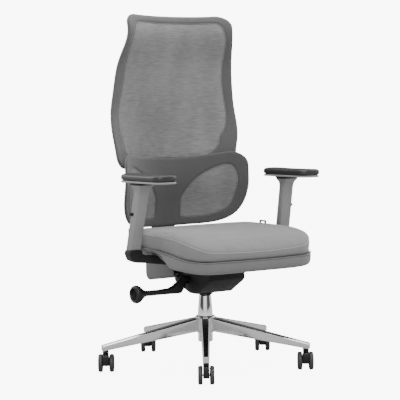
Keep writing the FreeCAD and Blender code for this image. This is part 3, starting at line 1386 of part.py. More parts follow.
# ---------------------------------------------------------------- build, check and write
def build_all():
    """Build every sub-part and return the list of them."""
    parts = [make_star_base(), make_caster_stems()]
    parts += make_casters()
    parts += make_gas_lift()
    parts.append(make_housing())
    parts += make_axles()
    parts.append(make_tilt_spring())
    lever, pivot = make_lever()
    parts += [lever, make_pivot_lugs(pivot), make_knob()]
    parts += [make_cushion(), make_pan(), make_seat_plate()]
    parts += make_upper_back()
    parts += make_lumbar()
    parts += [make_back_bracket(), make_spine_cover()]
    parts += make_lumbar_hinge()
    for name, side in SIDES:
        parts += make_arm(name, side)
    return parts


def check_document(parts):
    """Stop if an object failed, or a sub-part's shape is null or not valid."""
    for item in doc.Objects:
        if "Invalid" in item.State or "Error" in item.State:
            raise RuntimeError("%s failed: %s" % (item.Name, item.State))
    for item in parts:
        if item.Shape.isNull() or not item.Shape.isValid() or not item.Shape.Solids:
            raise RuntimeError("%s has no valid solid" % item.Label)


sub_parts = build_all()
doc.recompute()
check_document(sub_parts)
for sub_part in sub_parts:
    sub_part.Shape.exportStep("parts/%s.step" % sub_part.Label)
    print("%-24s %3d solids %12.0f mm3" % (sub_part.Label, len(sub_part.Shape.Solids), sub_part.Shape.Volume))
print("%d nodes" % len(sub_parts))
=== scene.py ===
import json
import math

import bmesh
import bpy
import numpy as np
from mathutils import Matrix, Vector
from mathutils.kdtree import KDTree

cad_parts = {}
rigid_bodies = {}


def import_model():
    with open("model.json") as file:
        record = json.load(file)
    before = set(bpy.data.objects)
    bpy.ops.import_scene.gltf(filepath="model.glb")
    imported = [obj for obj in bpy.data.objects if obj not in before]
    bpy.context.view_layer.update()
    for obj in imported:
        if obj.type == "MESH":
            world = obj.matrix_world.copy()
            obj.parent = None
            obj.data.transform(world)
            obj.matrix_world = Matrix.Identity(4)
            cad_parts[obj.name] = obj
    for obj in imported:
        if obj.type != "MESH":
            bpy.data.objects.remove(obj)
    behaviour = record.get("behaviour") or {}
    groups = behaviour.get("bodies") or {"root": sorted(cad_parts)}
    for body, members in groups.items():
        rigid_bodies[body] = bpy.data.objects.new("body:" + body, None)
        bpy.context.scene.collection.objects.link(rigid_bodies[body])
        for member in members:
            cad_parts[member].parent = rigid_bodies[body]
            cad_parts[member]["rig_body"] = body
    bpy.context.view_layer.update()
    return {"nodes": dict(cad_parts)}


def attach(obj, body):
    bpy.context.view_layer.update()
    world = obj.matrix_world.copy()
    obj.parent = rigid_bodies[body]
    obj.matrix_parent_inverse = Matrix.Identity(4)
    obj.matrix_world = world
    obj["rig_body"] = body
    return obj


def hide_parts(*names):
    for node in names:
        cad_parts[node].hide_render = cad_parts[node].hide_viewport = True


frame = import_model()
SIDES = (("left", 1.0), ("right", -1.0))
CASTERS = 5
BACKDROP = 9.0

CAMERA_AZIMUTH = -35.0
CAMERA_ELEVATION = 3.7161
CAMERA_ROLL = -0.6707
CAMERA_DISTANCE = 4.8225
CAMERA_LENS = 130.35
TARGET_RIGHT = -0.0131
TARGET_UP = 0.5587


# ---------------------------------------------------------------- camera, light and floor
def make_camera():
    """Camera at the photograph's place: right of the chair's front, a little above the arms."""
    azimuth = math.radians(CAMERA_AZIMUTH)
    elevation = math.radians(CAMERA_ELEVATION)
    roll = math.radians(CAMERA_ROLL)
    back = Vector((math.sin(azimuth) * math.cos(elevation), -math.cos(azimuth) * math.cos(elevation),
                   math.sin(elevation)))
    right = (-back).cross(Vector((0, 0, 1))).normalized()
    up = right.cross(-back)
    turned_right = right * math.cos(roll) + up * math.sin(roll)
    turned_up = up * math.cos(roll) - right * math.sin(roll)
    target = Vector((TARGET_RIGHT * math.cos(azimuth), TARGET_RIGHT * math.sin(azimuth), TARGET_UP))
    data = bpy.data.cameras.new("camera")
    data.sensor_width = 36.0
    data.lens = CAMERA_LENS
    data.dof.use_dof = False
    data.clip_end = 50.0
    camera = bpy.data.objects.new("camera", data)
    columns = Matrix((turned_right, turned_up, back)).transposed().to_4x4()
    camera.matrix_world = Matrix.Translation(target + back * CAMERA_DISTANCE) @ columns
    bpy.context.scene.collection.objects.link(camera)
    bpy.context.scene.camera = camera


def make_light(name, place, target, size, power):
    """Soft square area light aimed at a point."""
    data = bpy.data.lights.new(name, "AREA")
    data.shape = "SQUARE"
    data.size = size
    data.energy = power
    light = bpy.data.objects.new(name, data)
    light.location = place
    light.rotation_mode = "QUATERNION"
    light.rotation_quaternion = (Vector(target) - Vector(place)).to_track_quat("-Z", "Y")
    bpy.context.scene.collection.objects.link(light)


def make_world():
    """Pale studio: white to look at, and lit from above by soft upright bands for the metal to reflect."""
    world = bpy.data.worlds.new("studio")
    world.use_nodes = True
    tree = world.node_tree
    tree.nodes.clear()
    output = tree.nodes.new("ShaderNodeOutputWorld")
    mix = tree.nodes.new("ShaderNodeMixShader")
    shown = tree.nodes.new("ShaderNodeBackground")
    lighting = tree.nodes.new("ShaderNodeBackground")
    path = tree.nodes.new("ShaderNodeLightPath")
    ramp = tree.nodes.new("ShaderNodeValToRGB")
    split = tree.nodes.new("ShaderNodeSeparateXYZ")
    place = tree.nodes.new("ShaderNodeTexCoord")
    shown.inputs["Color"].default_value = (1.0, 1.0, 1.0, 1.0)
    shown.inputs["Strength"].default_value = BACKDROP
    stops = [(0.0, 0.30), (0.47, 0.40), (0.58, 0.60), (0.72, 1.5), (1.0, 2.0)]
    elements = ramp.color_ramp.elements
    while len(elements) < len(stops):
        elements.new(0.5)
    for element, (position, level) in zip(elements, stops):
        element.position = position
        element.color = (level, level, level, 1.0)
    scaled = tree.nodes.new("ShaderNodeMapRange")
    scaled.inputs["From Min"].default_value = -1.0
    tree.links.new(place.outputs["Generated"], split.inputs[0])
    tree.links.new(split.outputs["Z"], scaled.inputs["Value"])
    tree.links.new(scaled.outputs["Result"], ramp.inputs["Fac"])
    tree.links.new(ramp.outputs["Color"], lighting.inputs["Color"])
    turn = combine(tree, "ARCTAN2", split.outputs["Y"], split.outputs["X"])
    phase = combine(tree, "MULTIPLY_ADD", turn, 3.0)
    phase.node.inputs[2].default_value = math.radians(3 * 125.0)
    bands = combine(tree, "MULTIPLY_ADD", combine(tree, "COSINE", phase, 0.0), 1.6)
    bands.node.inputs[2].default_value = 0.25
    bands.node.use_clamp = True
    tree.links.new(spread(tree, bands, 0.18, 2.3), lighting.inputs["Strength"])
    tree.links.new(path.outputs["Is Camera Ray"], mix.inputs["Fac"])
    tree.links.new(lighting.outputs[0], mix.inputs[1])
    tree.links.new(shown.outputs[0], mix.inputs[2])
    tree.links.new(mix.outputs[0], output.inputs["Surface"])
    bpy.context.scene.world = world


def make_stage():
    """Camera, lights and a plain pale floor."""
    make_camera()
    make_world()
    make_light("key", (-1.8, -2.6, 3.0), (0, 0, 0.6), 1.8, 42)
    make_light("fill", (2.8, -1.6, 1.8), (0, 0, 0.6), 2.0, 14)
    make_light("top", (0.0, 0.2, 3.4), (0, 0, 0.5), 2.2, 40)
    mesh = bpy.data.meshes.new("floor")
    reach = 14.0
    mesh.from_pydata([(-reach, -reach, 0), (reach, -reach, 0), (reach, reach, 0), (-reach, reach, 0)], [],
                     [(0, 1, 2, 3)])
    floor = bpy.data.objects.new("floor", mesh)
    bpy.context.scene.collection.objects.link(floor)
    floor.data.materials.append(FLOOR)


# ---------------------------------------------------------------- materials
def new_material(name, color, roughness, metallic=0.0):
    """Material with one Principled shader whose uniform values are on its own sockets."""
    material = bpy.data.materials.new(name)
    material.use_nodes = True
    shader = material.node_tree.nodes["Principled BSDF"]
    shader.inputs["Base Color"].default_value = (*color, 1.0)
    shader.inputs["Roughness"].default_value = roughness
    shader.inputs["Metallic"].default_value = metallic
    return material, material.node_tree, shader


def add_node(tree, kind, **values):
    """Add a node and set its inputs by name; spaces in a name are written as underscores."""
    node = tree.nodes.new(kind)
    for name, value in values.items():
        node.inputs[name.replace("_", " ")].default_value = value
    return node


def object_place(tree):
    """Return the object-space position output."""
    return tree.nodes.new("ShaderNodeTexCoord").outputs["Object"]


def noise(tree, place, scale, detail=2.0):
    """Return a noise texture's value."""
    node = add_node(tree, "ShaderNodeTexNoise", Scale=scale, Detail=detail)
    tree.links.new(place, node.inputs["Vector"])
    return node.outputs["Fac"]


def waves(tree, place, direction, scale, distortion=0.0):
    """Return a band texture's value."""
    node = add_node(tree, "ShaderNodeTexWave", Scale=scale, Distortion=distortion, Detail=1.0)
    node.bands_direction = direction
    tree.links.new(place, node.inputs["Vector"])
    return node.outputs["Fac"]


def combine(tree, operation, first, second):
    """Return a math node's result for two outputs or numbers."""
    node = tree.nodes.new("ShaderNodeMath")
    node.operation = operation
    for index, value in enumerate((first, second)):
        if isinstance(value, (int, float)):
            node.inputs[index].default_value = value
        else:
            tree.links.new(value, node.inputs[index])
    return node.outputs[0]


def weigh(tree, *parts):
    """Return the sum of some outputs, each times its weight."""
    scaled = [combine(tree, "MULTIPLY", value, weight) for value, weight in parts]
    total = scaled[0]
    for value in scaled[1:]:
        total = combine(tree, "ADD", total, value)
    return total


def spread(tree, value, low, high):
    """Return a value from 0 to 1 mapped to a range."""
    node = add_node(tree, "ShaderNodeMapRange", To_Min=low, To_Max=high)
    tree.links.new(value, node.inputs["Value"])
    return node.outputs["Result"]


def spread_steep(tree, value, low, high):
    """Return a value stretched so that low becomes 0 and high becomes 1."""
    node = add_node(tree, "ShaderNodeMapRange", From_Min=low, From_Max=high)
    tree.links.new(value, node.inputs["Value"])
    return node.outputs["Result"]


def shade_between(tree, shader, value, dark, light):
    """Colour a shader from a dark to a light tone by a value."""
    ramp = tree.nodes.new("ShaderNodeValToRGB")
    ramp.color_ramp.elements[0].color = (*dark, 1.0)
    ramp.color_ramp.elements[1].color = (*light, 1.0)
    tree.links.new(value, ramp.inputs["Fac"])
    tree.links.new(ramp.outputs["Color"], shader.inputs["Base Color"])


def bump(tree, shader, height, strength, distance):
    """Raise a shader's surface by a value."""
    node = add_node(tree, "ShaderNodeBump", Strength=strength, Distance=distance)
    tree.links.new(height, node.inputs["Height"])
    tree.links.new(node.outputs["Normal"], shader.inputs["Normal"])


def grey(level):
    """Return a neutral colour."""
    return (level, level, level * 1.01)


def fabric(name, level, spread_share=0.16, thread=420.0):
    """Close knit: crossed threads about a millimetre apart, with uneven dye and a soft sheen."""
    material, tree, shader = new_material(name, grey(level), 0.9)
    shader.inputs["Sheen Weight"].default_value = 0.25
    shader.inputs["Sheen Roughness"].default_value = 0.5
    shader.inputs["Specular IOR Level"].default_value = 0.2
    place = object_place(tree)
    across = waves(tree, place, "X", thread, 0.6)
    along = waves(tree, place, "DIAGONAL", thread, 0.6)
    threads = combine(tree, "MULTIPLY", across, along)
    patches = noise(tree, place, 14.0, 4.0)
    fuzz = noise(tree, place, 900.0, 2.0)
    mixed = weigh(tree, (patches, 0.5), (threads, 0.3), (fuzz, 0.2))
    shade_between(tree, shader, mixed, grey(level * (1 - spread_share)), grey(level * (1 + spread_share)))
    bump(tree, shader, weigh(tree, (threads, 1.0), (fuzz, 0.4)), 0.35, 0.0006)
    return material


def stretched(tree, place, scale, turn=0.0):
    """Return a position scaled by axis and turned about Y."""
    node = tree.nodes.new("ShaderNodeMapping")
    node.inputs["Scale"].default_value = scale
    node.inputs["Rotation"].default_value = (0.0, turn, 0.0)
    tree.links.new(place, node.inputs["Vector"])
    return node.outputs["Vector"]


def ribbed_mesh(name, level):
    """Elastic mesh: level ribs and uneven streaks, with broad paler diagonal bands laid at random."""
    material, tree, shader = new_material(name, grey(level), 0.75)
    shader.inputs["Sheen Weight"].default_value = 0.15
    place = object_place(tree)
    ribs = waves(tree, place, "Z", 95.0, 1.1)
    diagonal_bands = noise(tree, stretched(tree, place, (7.0, 7.0, 1.5), 0.45), 1.7, 3.0)
    streaks = noise(tree, stretched(tree, place, (1.0, 1.0, 7.0)), 34.0, 3.0)
    tone = spread_steep(tree, weigh(tree, (diagonal_bands, 0.40), (streaks, 0.48), (ribs, 0.12)), 0.38, 0.62)
    shade_between(tree, shader, tone, grey(level * 0.78), grey(level * 1.24))
    bump(tree, shader, combine(tree, "ADD", ribs, streaks), 0.5, 0.0008)
    return material


def moulded(name, level, roughness, grain=650.0):
    """Moulded plastic: fine spark-eroded grain with slight polish where it is handled."""
    material, tree, shader = new_material(name, grey(level), roughness)
    shader.inputs["Specular IOR Level"].default_value = 0.32
    place = object_place(tree)
    fine = noise(tree, place, grain, 2.0)
    wear = noise(tree, place, 9.0, 3.0)
    shade_between(tree, shader, wear, grey(level * 0.86), grey(level * 1.16))
    tree.links.new(spread(tree, wear, roughness - 0.09, roughness + 0.09), shader.inputs["Roughness"])
    bump(tree, shader, fine, 0.22, 0.0004)
    return material


def metal(name, level, roughness, direction="Z", brush=0.0):
    """Metal: polished or brushed, with faint waviness in its reflections."""
    material, tree, shader = new_material(name, grey(level), roughness, 1.0)
    place = object_place(tree)
    smear = noise(tree, place, 22.0, 2.0)
    tree.links.new(spread(tree, smear, roughness * 0.7, roughness * 1.5), shader.inputs["Roughness"])
    shade_between(tree, shader, smear, grey(level * 0.93), grey(min(1.0, level * 1.06)))
    lines = waves(tree, place, direction, 700.0, 3.0)
    bump(tree, shader, weigh(tree, (lines, brush), (smear, 0.3)), 0.05 + brush, 0.0008)
    return material


def skin(name, level):
    """Soft polyurethane skin: fine leather-like pebbles and a low gloss."""
    material, tree, shader = new_material(name, grey(level), 0.42)
    shader.inputs["Specular IOR Level"].default_value = 0.45
    place = object_place(tree)
    cells = add_node(tree, "ShaderNodeTexVoronoi", Scale=420.0)
    tree.links.new(place, cells.inputs["Vector"])
    patches = noise(tree, place, 30.0, 3.0)
    shade_between(tree, shader, patches, grey(level * 0.8), grey(level * 1.25))
    tree.links.new(spread(tree, patches, 0.34, 0.52), shader.inputs["Roughness"])
    bump(tree, shader, cells.outputs["Distance"], 0.25, 0.0005)
    return material


def plain_floor():
    """Pale matte floor that shows as bright as the backdrop and throws little light back up."""
    material, tree, shader = new_material("floor_pale", grey(0.4), 0.9)
    place = object_place(tree)
    shade_between(tree, shader, noise(tree, place, 1.5, 2.0), grey(0.40), grey(0.43))
    shader.inputs["Emission Color"].default_value = (1.0, 1.0, 1.0, 1.0)
    path = tree.nodes.new("ShaderNodeLightPath")
    glow = combine(tree, "MULTIPLY", path.outputs["Is Camera Ray"], BACKDROP * 0.88)
    tree.links.new(glow, shader.inputs["Emission Strength"])
    return material


FLOOR = plain_floor()
SEAT_FABRIC = fabric("seat_knit", 0.182)
BAND_FABRIC = fabric("band_knit", 0.10)
LUMBAR_FABRIC = fabric("lumbar_knit", 0.074)
# The pan's knit is the seat's fabric made darker: painted shade under the seat.
PAN_SHADED_FABRIC = fabric("pan_knit_painted_shade", 0.150)
# The upper seam's knit is far paler than the seat's: a painted highlight along the cushion's front top edge.
SEAM_HIGHLIGHT_FABRIC = fabric("seam_piping_painted_highlight", 0.32, 0.2, 900.0)
BAND_THREAD = fabric("band_piping", 0.11, 0.2, 900.0)
BACK_MESH = ribbed_mesh("back_ribbed", 0.190)
LUMBAR_MESH = ribbed_mesh("lumbar_ribbed", 0.150)
BLACK = moulded("black_grained", 0.007, 0.5)
BLACK_SMOOTH = moulded("black_smooth", 0.007, 0.36, 900.0)
BLACK_COAT = moulded("powder_coat", 0.005, 0.62, 420.0)
WHEEL = moulded("wheel_tread", 0.035, 0.5, 500.0)
WHEEL_FACE = moulded("wheel_face", 0.07, 0.42, 800.0)
GREY = moulded("grey_grained", 0.13, 0.5)
GREY_PALE = moulded("grey_pale", 0.25, 0.5)
PAD_SKIN = skin("pad_skin", 0.022)
POLISHED = metal("polished_aluminium", 0.56, 0.12)
CHROME = metal("chrome_plate", 0.88, 0.07)
STEEL = metal("machined_steel", 0.35, 0.35, "Z", 0.25)
SPRING = metal("oiled_spring", 0.3, 0.35, "X", 0.1)
BUSH = moulded("bush_nylon", 0.6, 0.5)


# ---------------------------------------------------------------- curves
def natural(knots):
    """Return a smooth function through (place, value) knots."""
    x = np.array([knot[0] for knot in knots], float)
    y = np.array([knot[1] for knot in knots], float)
    gap = np.diff(x)
    size = len(x)
    matrix = np.eye(size)
    right = np.zeros(size)
    for i in range(1, size - 1):
        matrix[i, i - 1] = gap[i - 1]
        matrix[i, i] = 2 * (gap[i - 1] + gap[i])
        matrix[i, i + 1] = gap[i]
        right[i] = 6 * ((y[i + 1] - y[i]) / gap[i] - (y[i] - y[i - 1]) / gap[i - 1])
    bend = np.linalg.solve(matrix, right)

    def value(place):
        """Return the curve's height at a place."""
        i = int(np.clip(np.searchsorted(x, place) - 1, 0, size - 2))
        before = (x[i + 1] - place) / gap[i]
        after = (place - x[i]) / gap[i]
        return float(before * y[i] + after * y[i + 1] + ((before ** 3 - before) * bend[i]
                     + (after ** 3 - after) * bend[i + 1]) * gap[i] ** 2 / 6)
    return value


def smooth_path(points, step=0.005, closed=False):
    """Return points a step apart along a smooth curve through points of any dimension."""
    spots = [np.array(point, float) for point in points]
    lead = 0
    if closed:
        lead = min(4, len(spots))
        spots = spots[-lead:] + spots + spots[:lead + 1]
    length = [0.0]
    for first, second in zip(spots, spots[1:]):
        length.append(length[-1] + float(np.linalg.norm(second - first)))
    curves = [natural(list(zip(length, [spot[axis] for spot in spots]))) for axis in range(len(spots[0]))]
    start = length[lead]
    stop = length[lead + len(points)] if closed else length[-1]
    count = max(4, int(round((stop - start) / step)))
    last = count if closed else count + 1
    return [tuple(curve(start + (stop - start) * i / count) for curve in curves) for i in range(last)]


def arc(centre, radii, start, stop, count):
    """Return points on part of an ellipse, angles in degrees."""
    angles = [math.radians(start + (stop - start) * i / count) for i in range(count + 1)]
    return [(centre[0] + radii[0] * math.cos(a), centre[1] + radii[1] * math.sin(a)) for a in angles]


def mirrored(right):
    """Return a closed outline from its right half, listed from the bottom up."""
    return right + [(-x, z) for x, z in reversed(right) if x > 1e-6]


def curved_face(levels):
    """Return a back panel's depth as a function of (x, z).

    A level is its height, its depth in the middle and its sideways curvature.
    """
    depth = natural([(z, y) for z, y, hollow in levels])
    hollow = natural([(z, bend) for z, y, bend in levels])
    return lambda x, z: depth(z) - hollow(z) * x * x


UPPER_FACE = curved_face([
    (0.602, 0.250, 1.7), (0.682, 0.251, 1.7), (0.780, 0.245, 1.36),
    (0.870, 0.226, 0.88), (0.920, 0.216, 0.8), (1.030, 0.193, 0.8),
    (1.120, 0.166, 1.0), (1.165, 0.177, 1.0), (1.200, 0.199, 1.0)])
LUMBAR_FACE = curved_face([
    (0.437, 0.222, 2.0), (0.497, 0.2225, 2.0), (0.547, 0.218, 2.0),
    (0.612, 0.206, 2.0), (0.662, 0.206, 2.0), (0.734, 0.214, 2.0)])


def upper_outline(bands, inset_top, inset_low, corner, heel):
    """Return the upper back's outline, inset by a band at each level from the hem to the crown."""
    rows = [(0.662, 0.247), (0.780, 0.257), (0.920, 0.245), (1.030, 0.230), (1.120, 0.2135), (1.180, 0.203)]
    halves = [half - band for (z, half), band in zip(rows, bands)]
    top = rows[-1][0] - inset_top
    low = rows[0][0] + inset_low
    crown = halves[-1]
    knots = [(low + heel, halves[0])] + [(row[0], half) for row, half in zip(rows[1:-1], halves[1:-1])]
    knots.append((top - corner, crown + 0.3 * corner))
    side = natural(knots)
    right = [(x, low) for x in np.linspace(0.0, halves[0] - heel, 24)][:-1]
    right += arc((halves[0] - heel, low + heel), (heel, heel), -90, 0, 14)[:-1]
    right += [(side(z), z) for z in np.linspace(low + heel, top - corner, 80)][:-1]
    right += arc((crown - corner, top - corner), (1.3 * corner, corner), 0, 90, 12)[:-1]
    reach = crown - corner
    right += [(x, top - 0.004 * (1 - (x / reach) ** 2)) for x in np.linspace(reach, 0.0, 24)]
    return mirrored(right)


RING_OUTSIDE = upper_outline([0.0] * 6, 0.0, 0.0, 0.036, 0.058)
RING_INSIDE = upper_outline([0.049, 0.049, 0.038, 0.0345, 0.031, 0.031], 0.027, 0.032, 0.022, 0.070)


def lumbar_outline():
    """Return the lumbar panel's outline: a dished top edge, round shoulders and a full round foot."""
    half, low, high, corner = 0.252, 0.457, 0.714, 0.045
    foot = [(0.0, low), (0.42 * half, low + 0.003), (0.72 * half, low + 0.014), (0.88 * half, low + 0.038),
            (0.97 * half, low + 0.078), (half, high - corner - 0.040)]
    whole = [(-x, z) for x, z in reversed(foot[1:])] + foot
    right = [point for point in smooth_path(whole, 0.005) if point[0] >= 0.0][:-1]
    right += [(half, z) for z in np.linspace(high - corner - 0.040, high - corner, 8)][:-1]
    right += arc((half - corner, high - corner), (corner, corner), 0, 90, 12)[:-1]
    reach = half - corner
    right += [(x, high - 0.020 * (1 - (x / reach) ** 2)) for x in np.linspace(reach, 0.0, 40)]
    return mirrored(right)


def window_outline(side):
    """Return the leaf-shaped outline of one lumbar window."""
    inner, width, low, rise = 0.055, 0.163, 0.491, 0.175
    shares = [(0.0, 0.0), (0.36, 0.0), (0.68, 0.06), (0.90, 0.19), (0.98, 0.45), (1.0, 0.8), (0.9, 1.0),
              (0.67, 0.96), (0.38, 0.81), (0.14, 0.60), (0.0, 0.38)]
    points = [(side * (inner + x * width), low + z * rise) for x, z in shares]
    edge = smooth_path(points, 0.004)
    return edge + [(side * inner, z) for z in np.linspace(low + 0.38 * rise, low, 16)][1:-1]


# ---------------------------------------------------------------- mesh helpers
def new_piece(name, vertices, faces, material, smooth=True):
    """Add a mesh piece."""
    mesh = bpy.data.meshes.new(name)
    mesh.from_pydata([tuple(vertex) for vertex in vertices], [], faces)
    mesh.validate()
    mesh.materials.append(material)
    piece = bpy.data.objects.new(name, mesh)
    bpy.context.scene.collection.objects.link(piece)
    tidy_faces(piece, smooth)
    return piece


def tidy_faces(piece, smooth=True):
    """Weld a piece, turn its faces outwards and shade it."""
    mesh = bmesh.new()
    mesh.from_mesh(piece.data)
    bmesh.ops.remove_doubles(mesh, verts=mesh.verts, dist=1e-6)
    bmesh.ops.recalc_face_normals(mesh, faces=mesh.faces)
    mesh.to_mesh(piece.data)
    mesh.free()
    for polygon in piece.data.polygons:
        polygon.use_smooth = smooth


def settle(piece):
    """Replace a piece's mesh by what its modifiers make of it."""
    bpy.context.view_layer.update()
    depsgraph = bpy.context.evaluated_depsgraph_get()
    mesh = bpy.data.meshes.new_from_object(piece.evaluated_get(depsgraph))
    materials = list(piece.data.materials)
    piece.modifiers.clear()
    piece.data = mesh
    if not mesh.materials:
        for material in materials:
            mesh.materials.append(material)


def remesh(piece, voxel):
    """Rebuild a piece as even quads of one size."""
    modifier = piece.modifiers.new("remesh", "REMESH")
    modifier.mode = "VOXEL"
    modifier.voxel_size = voxel
    modifier.use_smooth_shade = True
    settle(piece)


def relax(piece, rounds, factor=0.5):
    """Smooth a piece's surface."""
    modifier = piece.modifiers.new("relax", "SMOOTH")
    modifier.iterations = rounds
    modifier.factor = factor
    settle(piece)


def refine(piece, levels=1):
    """Add smooth subdivision to a piece."""
    modifier = piece.modifiers.new("refine", "SUBSURF")
    modifier.levels = levels
    modifier.render_levels = levels


def bend(piece, change):
    """Move every vertex of a piece to where a function sends it."""
    for vertex in piece.data.vertices:
        vertex.co = change(vertex.co)
    piece.data.update()


def plate(name, outlines, thick, rounding, plane, material, voxel, rounds=6):
    """Make a plate with rounded edges from closed outlines; the outlines inside the first are holes."""
    data = bpy.data.curves.new(name, "CURVE")
    data.dimensions = "2D"
    data.fill_mode = "BOTH"
    data.bevel_depth = rounding
    data.bevel_resolution = 4
    data.extrude = thick / 2 - rounding
    data.offset = -rounding
    for outline in outlines:
        spline = data.splines.new("POLY")
        spline.points.add(len(outline) - 1)
        spline.points.foreach_set("co", [value for x, y in outline for value in (x, y, 0.0, 1.0)])
        spline.use_cyclic_u = True
    curve = bpy.data.objects.new(name + ".curve", data)
    bpy.context.scene.collection.objects.link(curve)
    bpy.context.view_layer.update()
    mesh = bpy.data.meshes.new_from_object(curve.evaluated_get(bpy.context.evaluated_depsgraph_get()))
    bpy.data.objects.remove(curve)
    piece = bpy.data.objects.new(name, mesh)
    bpy.context.scene.collection.objects.link(piece)
    mesh.materials.clear()
    mesh.materials.append(material)
    if plane == "front":
        bend(piece, lambda co: Vector((co.x, co.z, co.y)))
    tidy_faces(piece)
    if voxel:
        remesh(piece, voxel)
        relax(piece, rounds)
        tidy_faces(piece)
    return piece


def loft(name, rings, material, closed_ends=True):
    """Skin closed rings that all have the same number of points."""
    count = len(rings[0])
    vertices = [point for ring in rings for point in ring]
    faces = []
    for level in range(len(rings) - 1):
        low = level * count
        high = low + count
        for i in range(count):
            j = (i + 1) % count
            faces.append((low + i, low + j, high + j, high + i))
    if closed_ends:
        faces.append(tuple(range(count)))
        faces.append(tuple((len(rings) - 1) * count + i for i in range(count)))
    return new_piece(name, vertices, faces, material)


def lathe(name, profile, centre, direction, material, segments=48):
    """Turn a profile of (radius, along) points about an axis."""
    turn = Vector((0, 0, 1)).rotation_difference(Vector(direction))
    rings = []
    for radius, along in profile:
        ring = []
        for i in range(segments):
            angle = 2 * math.pi * i / segments
            spot = Vector((max(radius, 1e-5) * math.cos(angle), max(radius, 1e-5) * math.sin(angle), along))
            ring.append(Vector(centre) + turn @ spot)
        rings.append(ring)
    return loft(name, rings, material)


def tube(name, points, radius, material, closed=False, sides=8):
    """Thin round tube along points."""
    data = bpy.data.curves.new(name, "CURVE")
    data.dimensions = "3D"
    data.bevel_depth = radius
    data.bevel_resolution = sides // 4
    spline = data.splines.new("POLY")
    spline.points.add(len(points) - 1)
    spline.points.foreach_set("co", [value for point in points for value in (*point, 1.0)])
    spline.use_cyclic_u = closed
    curve = bpy.data.objects.new(name + ".curve", data)
    bpy.context.scene.collection.objects.link(curve)
    bpy.context.view_layer.update()
    mesh = bpy.data.meshes.new_from_object(curve.evaluated_get(bpy.context.evaluated_depsgraph_get()))
    bpy.data.objects.remove(curve)
    mesh.materials.clear()
    mesh.materials.append(material)
    piece = bpy.data.objects.new(name, mesh)
    bpy.context.scene.collection.objects.link(piece)
    tidy_faces(piece)
    return piece


def row_sheet(name, outline, face, ahead, material, rows, columns, tuck=0.004):
    """Sheet that fills an outline row by row on a curved face, tucked a little under the outline's edge."""
    heights = [z for x, z in outline]
    low, high = min(heights), max(heights)
    vertices = []
    for row in range(rows + 1):
        z = low + 1e-4 + (high - low - 2e-4) * row / rows
        crossings = []
        for (x0, z0), (x1, z1) in zip(outline, outline[1:] + outline[:1]):
            if (z0 - z) * (z1 - z) < 0:
                crossings.append(x0 + (x1 - x0) * (z - z0) / (z1 - z0))
        left, right = min(crossings) - tuck, max(crossings) + tuck
        spread_z = z + tuck * (2.0 * row / rows - 1.0)
        for column in range(columns + 1):
            x = left + (right - left) * column / columns
            vertices.append((x, face(x, spread_z) + ahead, spread_z))
    wide = columns + 1
    faces = [(r * wide + c, r * wide + c + 1, (r + 1) * wide + c + 1, (r + 1) * wide + c)
             for r in range(rows) for c in range(columns)]
    return new_piece(name, vertices, faces, material)


def soften(node, width, material, slot=None, segments=2):
    """Copy of a CAD node with its edges rounded, riding on the node's body in its place."""
    source = frame["nodes"][node]
    mesh = bmesh.new()
    mesh.from_mesh(source.data)
    bmesh.ops.remove_doubles(mesh, verts=mesh.verts, dist=2e-5)
    bmesh.ops.dissolve_limit(mesh, angle_limit=math.radians(1.5), verts=mesh.verts, edges=mesh.edges)
    shortest = width * 0.8
    crease = math.radians(33)
    sharp = [edge for edge in mesh.edges if len(edge.link_faces) == 2
             and edge.calc_face_angle(0.0) > crease and edge.calc_length() > shortest]
    bmesh.ops.bevel(mesh, geom=sharp, offset=width, segments=segments, profile=0.6, affect="EDGES",
                    clamp_overlap=True)
    bmesh.ops.triangulate(mesh, faces=[face for face in mesh.faces if len(face.verts) > 4])
    data = bpy.data.meshes.new(node + ".look")
    mesh.to_mesh(data)
    mesh.free()
    data.materials.append(material)
    piece = bpy.data.objects.new(node + ".look", data)
    bpy.context.scene.collection.objects.link(piece)
    for polygon in data.polygons:
        polygon.use_smooth = True
    data.set_sharp_from_angle(angle=math.radians(32))
    return mount(piece, source["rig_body"], slot, node)


def mount(piece, body, slot=None, *nodes):
    """Fix a finished piece to its body and hide the CAD nodes that it stands for; the slot is not used."""
    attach(piece, body)
    if nodes:
        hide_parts(*nodes)
    return piece


def paint(material, *nodes):
    """Give CAD nodes a material."""
    for node in nodes:
        data = frame["nodes"][node].data
        data.materials.clear()
        data.materials.append(material)


# ---------------------------------------------------------------- the upper back and the lumbar panel
FRAME_THICK = 0.018
LUMBAR_THICK = 0.016
PANEL_VOXEL = 0.0035
PANEL_AHEAD = -0.0058
WINDOW_BEHIND = 0.0018
BACK_TUCK = 0.005
WINDOW_TUCK = 0.003


def make_upper_back():
    """Padded fabric frame round a stretched mesh panel, with a seam where they meet."""
    ring = plate("back_frame.padded", [RING_OUTSIDE, RING_INSIDE], FRAME_THICK, 0.0085, "front", BAND_FABRIC,
                 PANEL_VOXEL, 5)
    bend(ring, lambda co: Vector((co.x, co.y + UPPER_FACE(co.x, co.z), co.z)))
    tidy_faces(ring)
    mount(ring, "back", "frame_fabric", "back_frame")
    panel = row_sheet("back_mesh.panel", RING_INSIDE, UPPER_FACE, PANEL_AHEAD, BACK_MESH, 120, 90, BACK_TUCK)
    mount(panel, "back", "mesh", "back_mesh")
    seam = [(x, UPPER_FACE(x, z) - 0.0060, z) for x, z in smooth_path(RING_INSIDE[::3], 0.006, True)]
    mount(tube("back_frame.seam", seam, 0.0010, BAND_THREAD, True), "back", "frame_fabric")


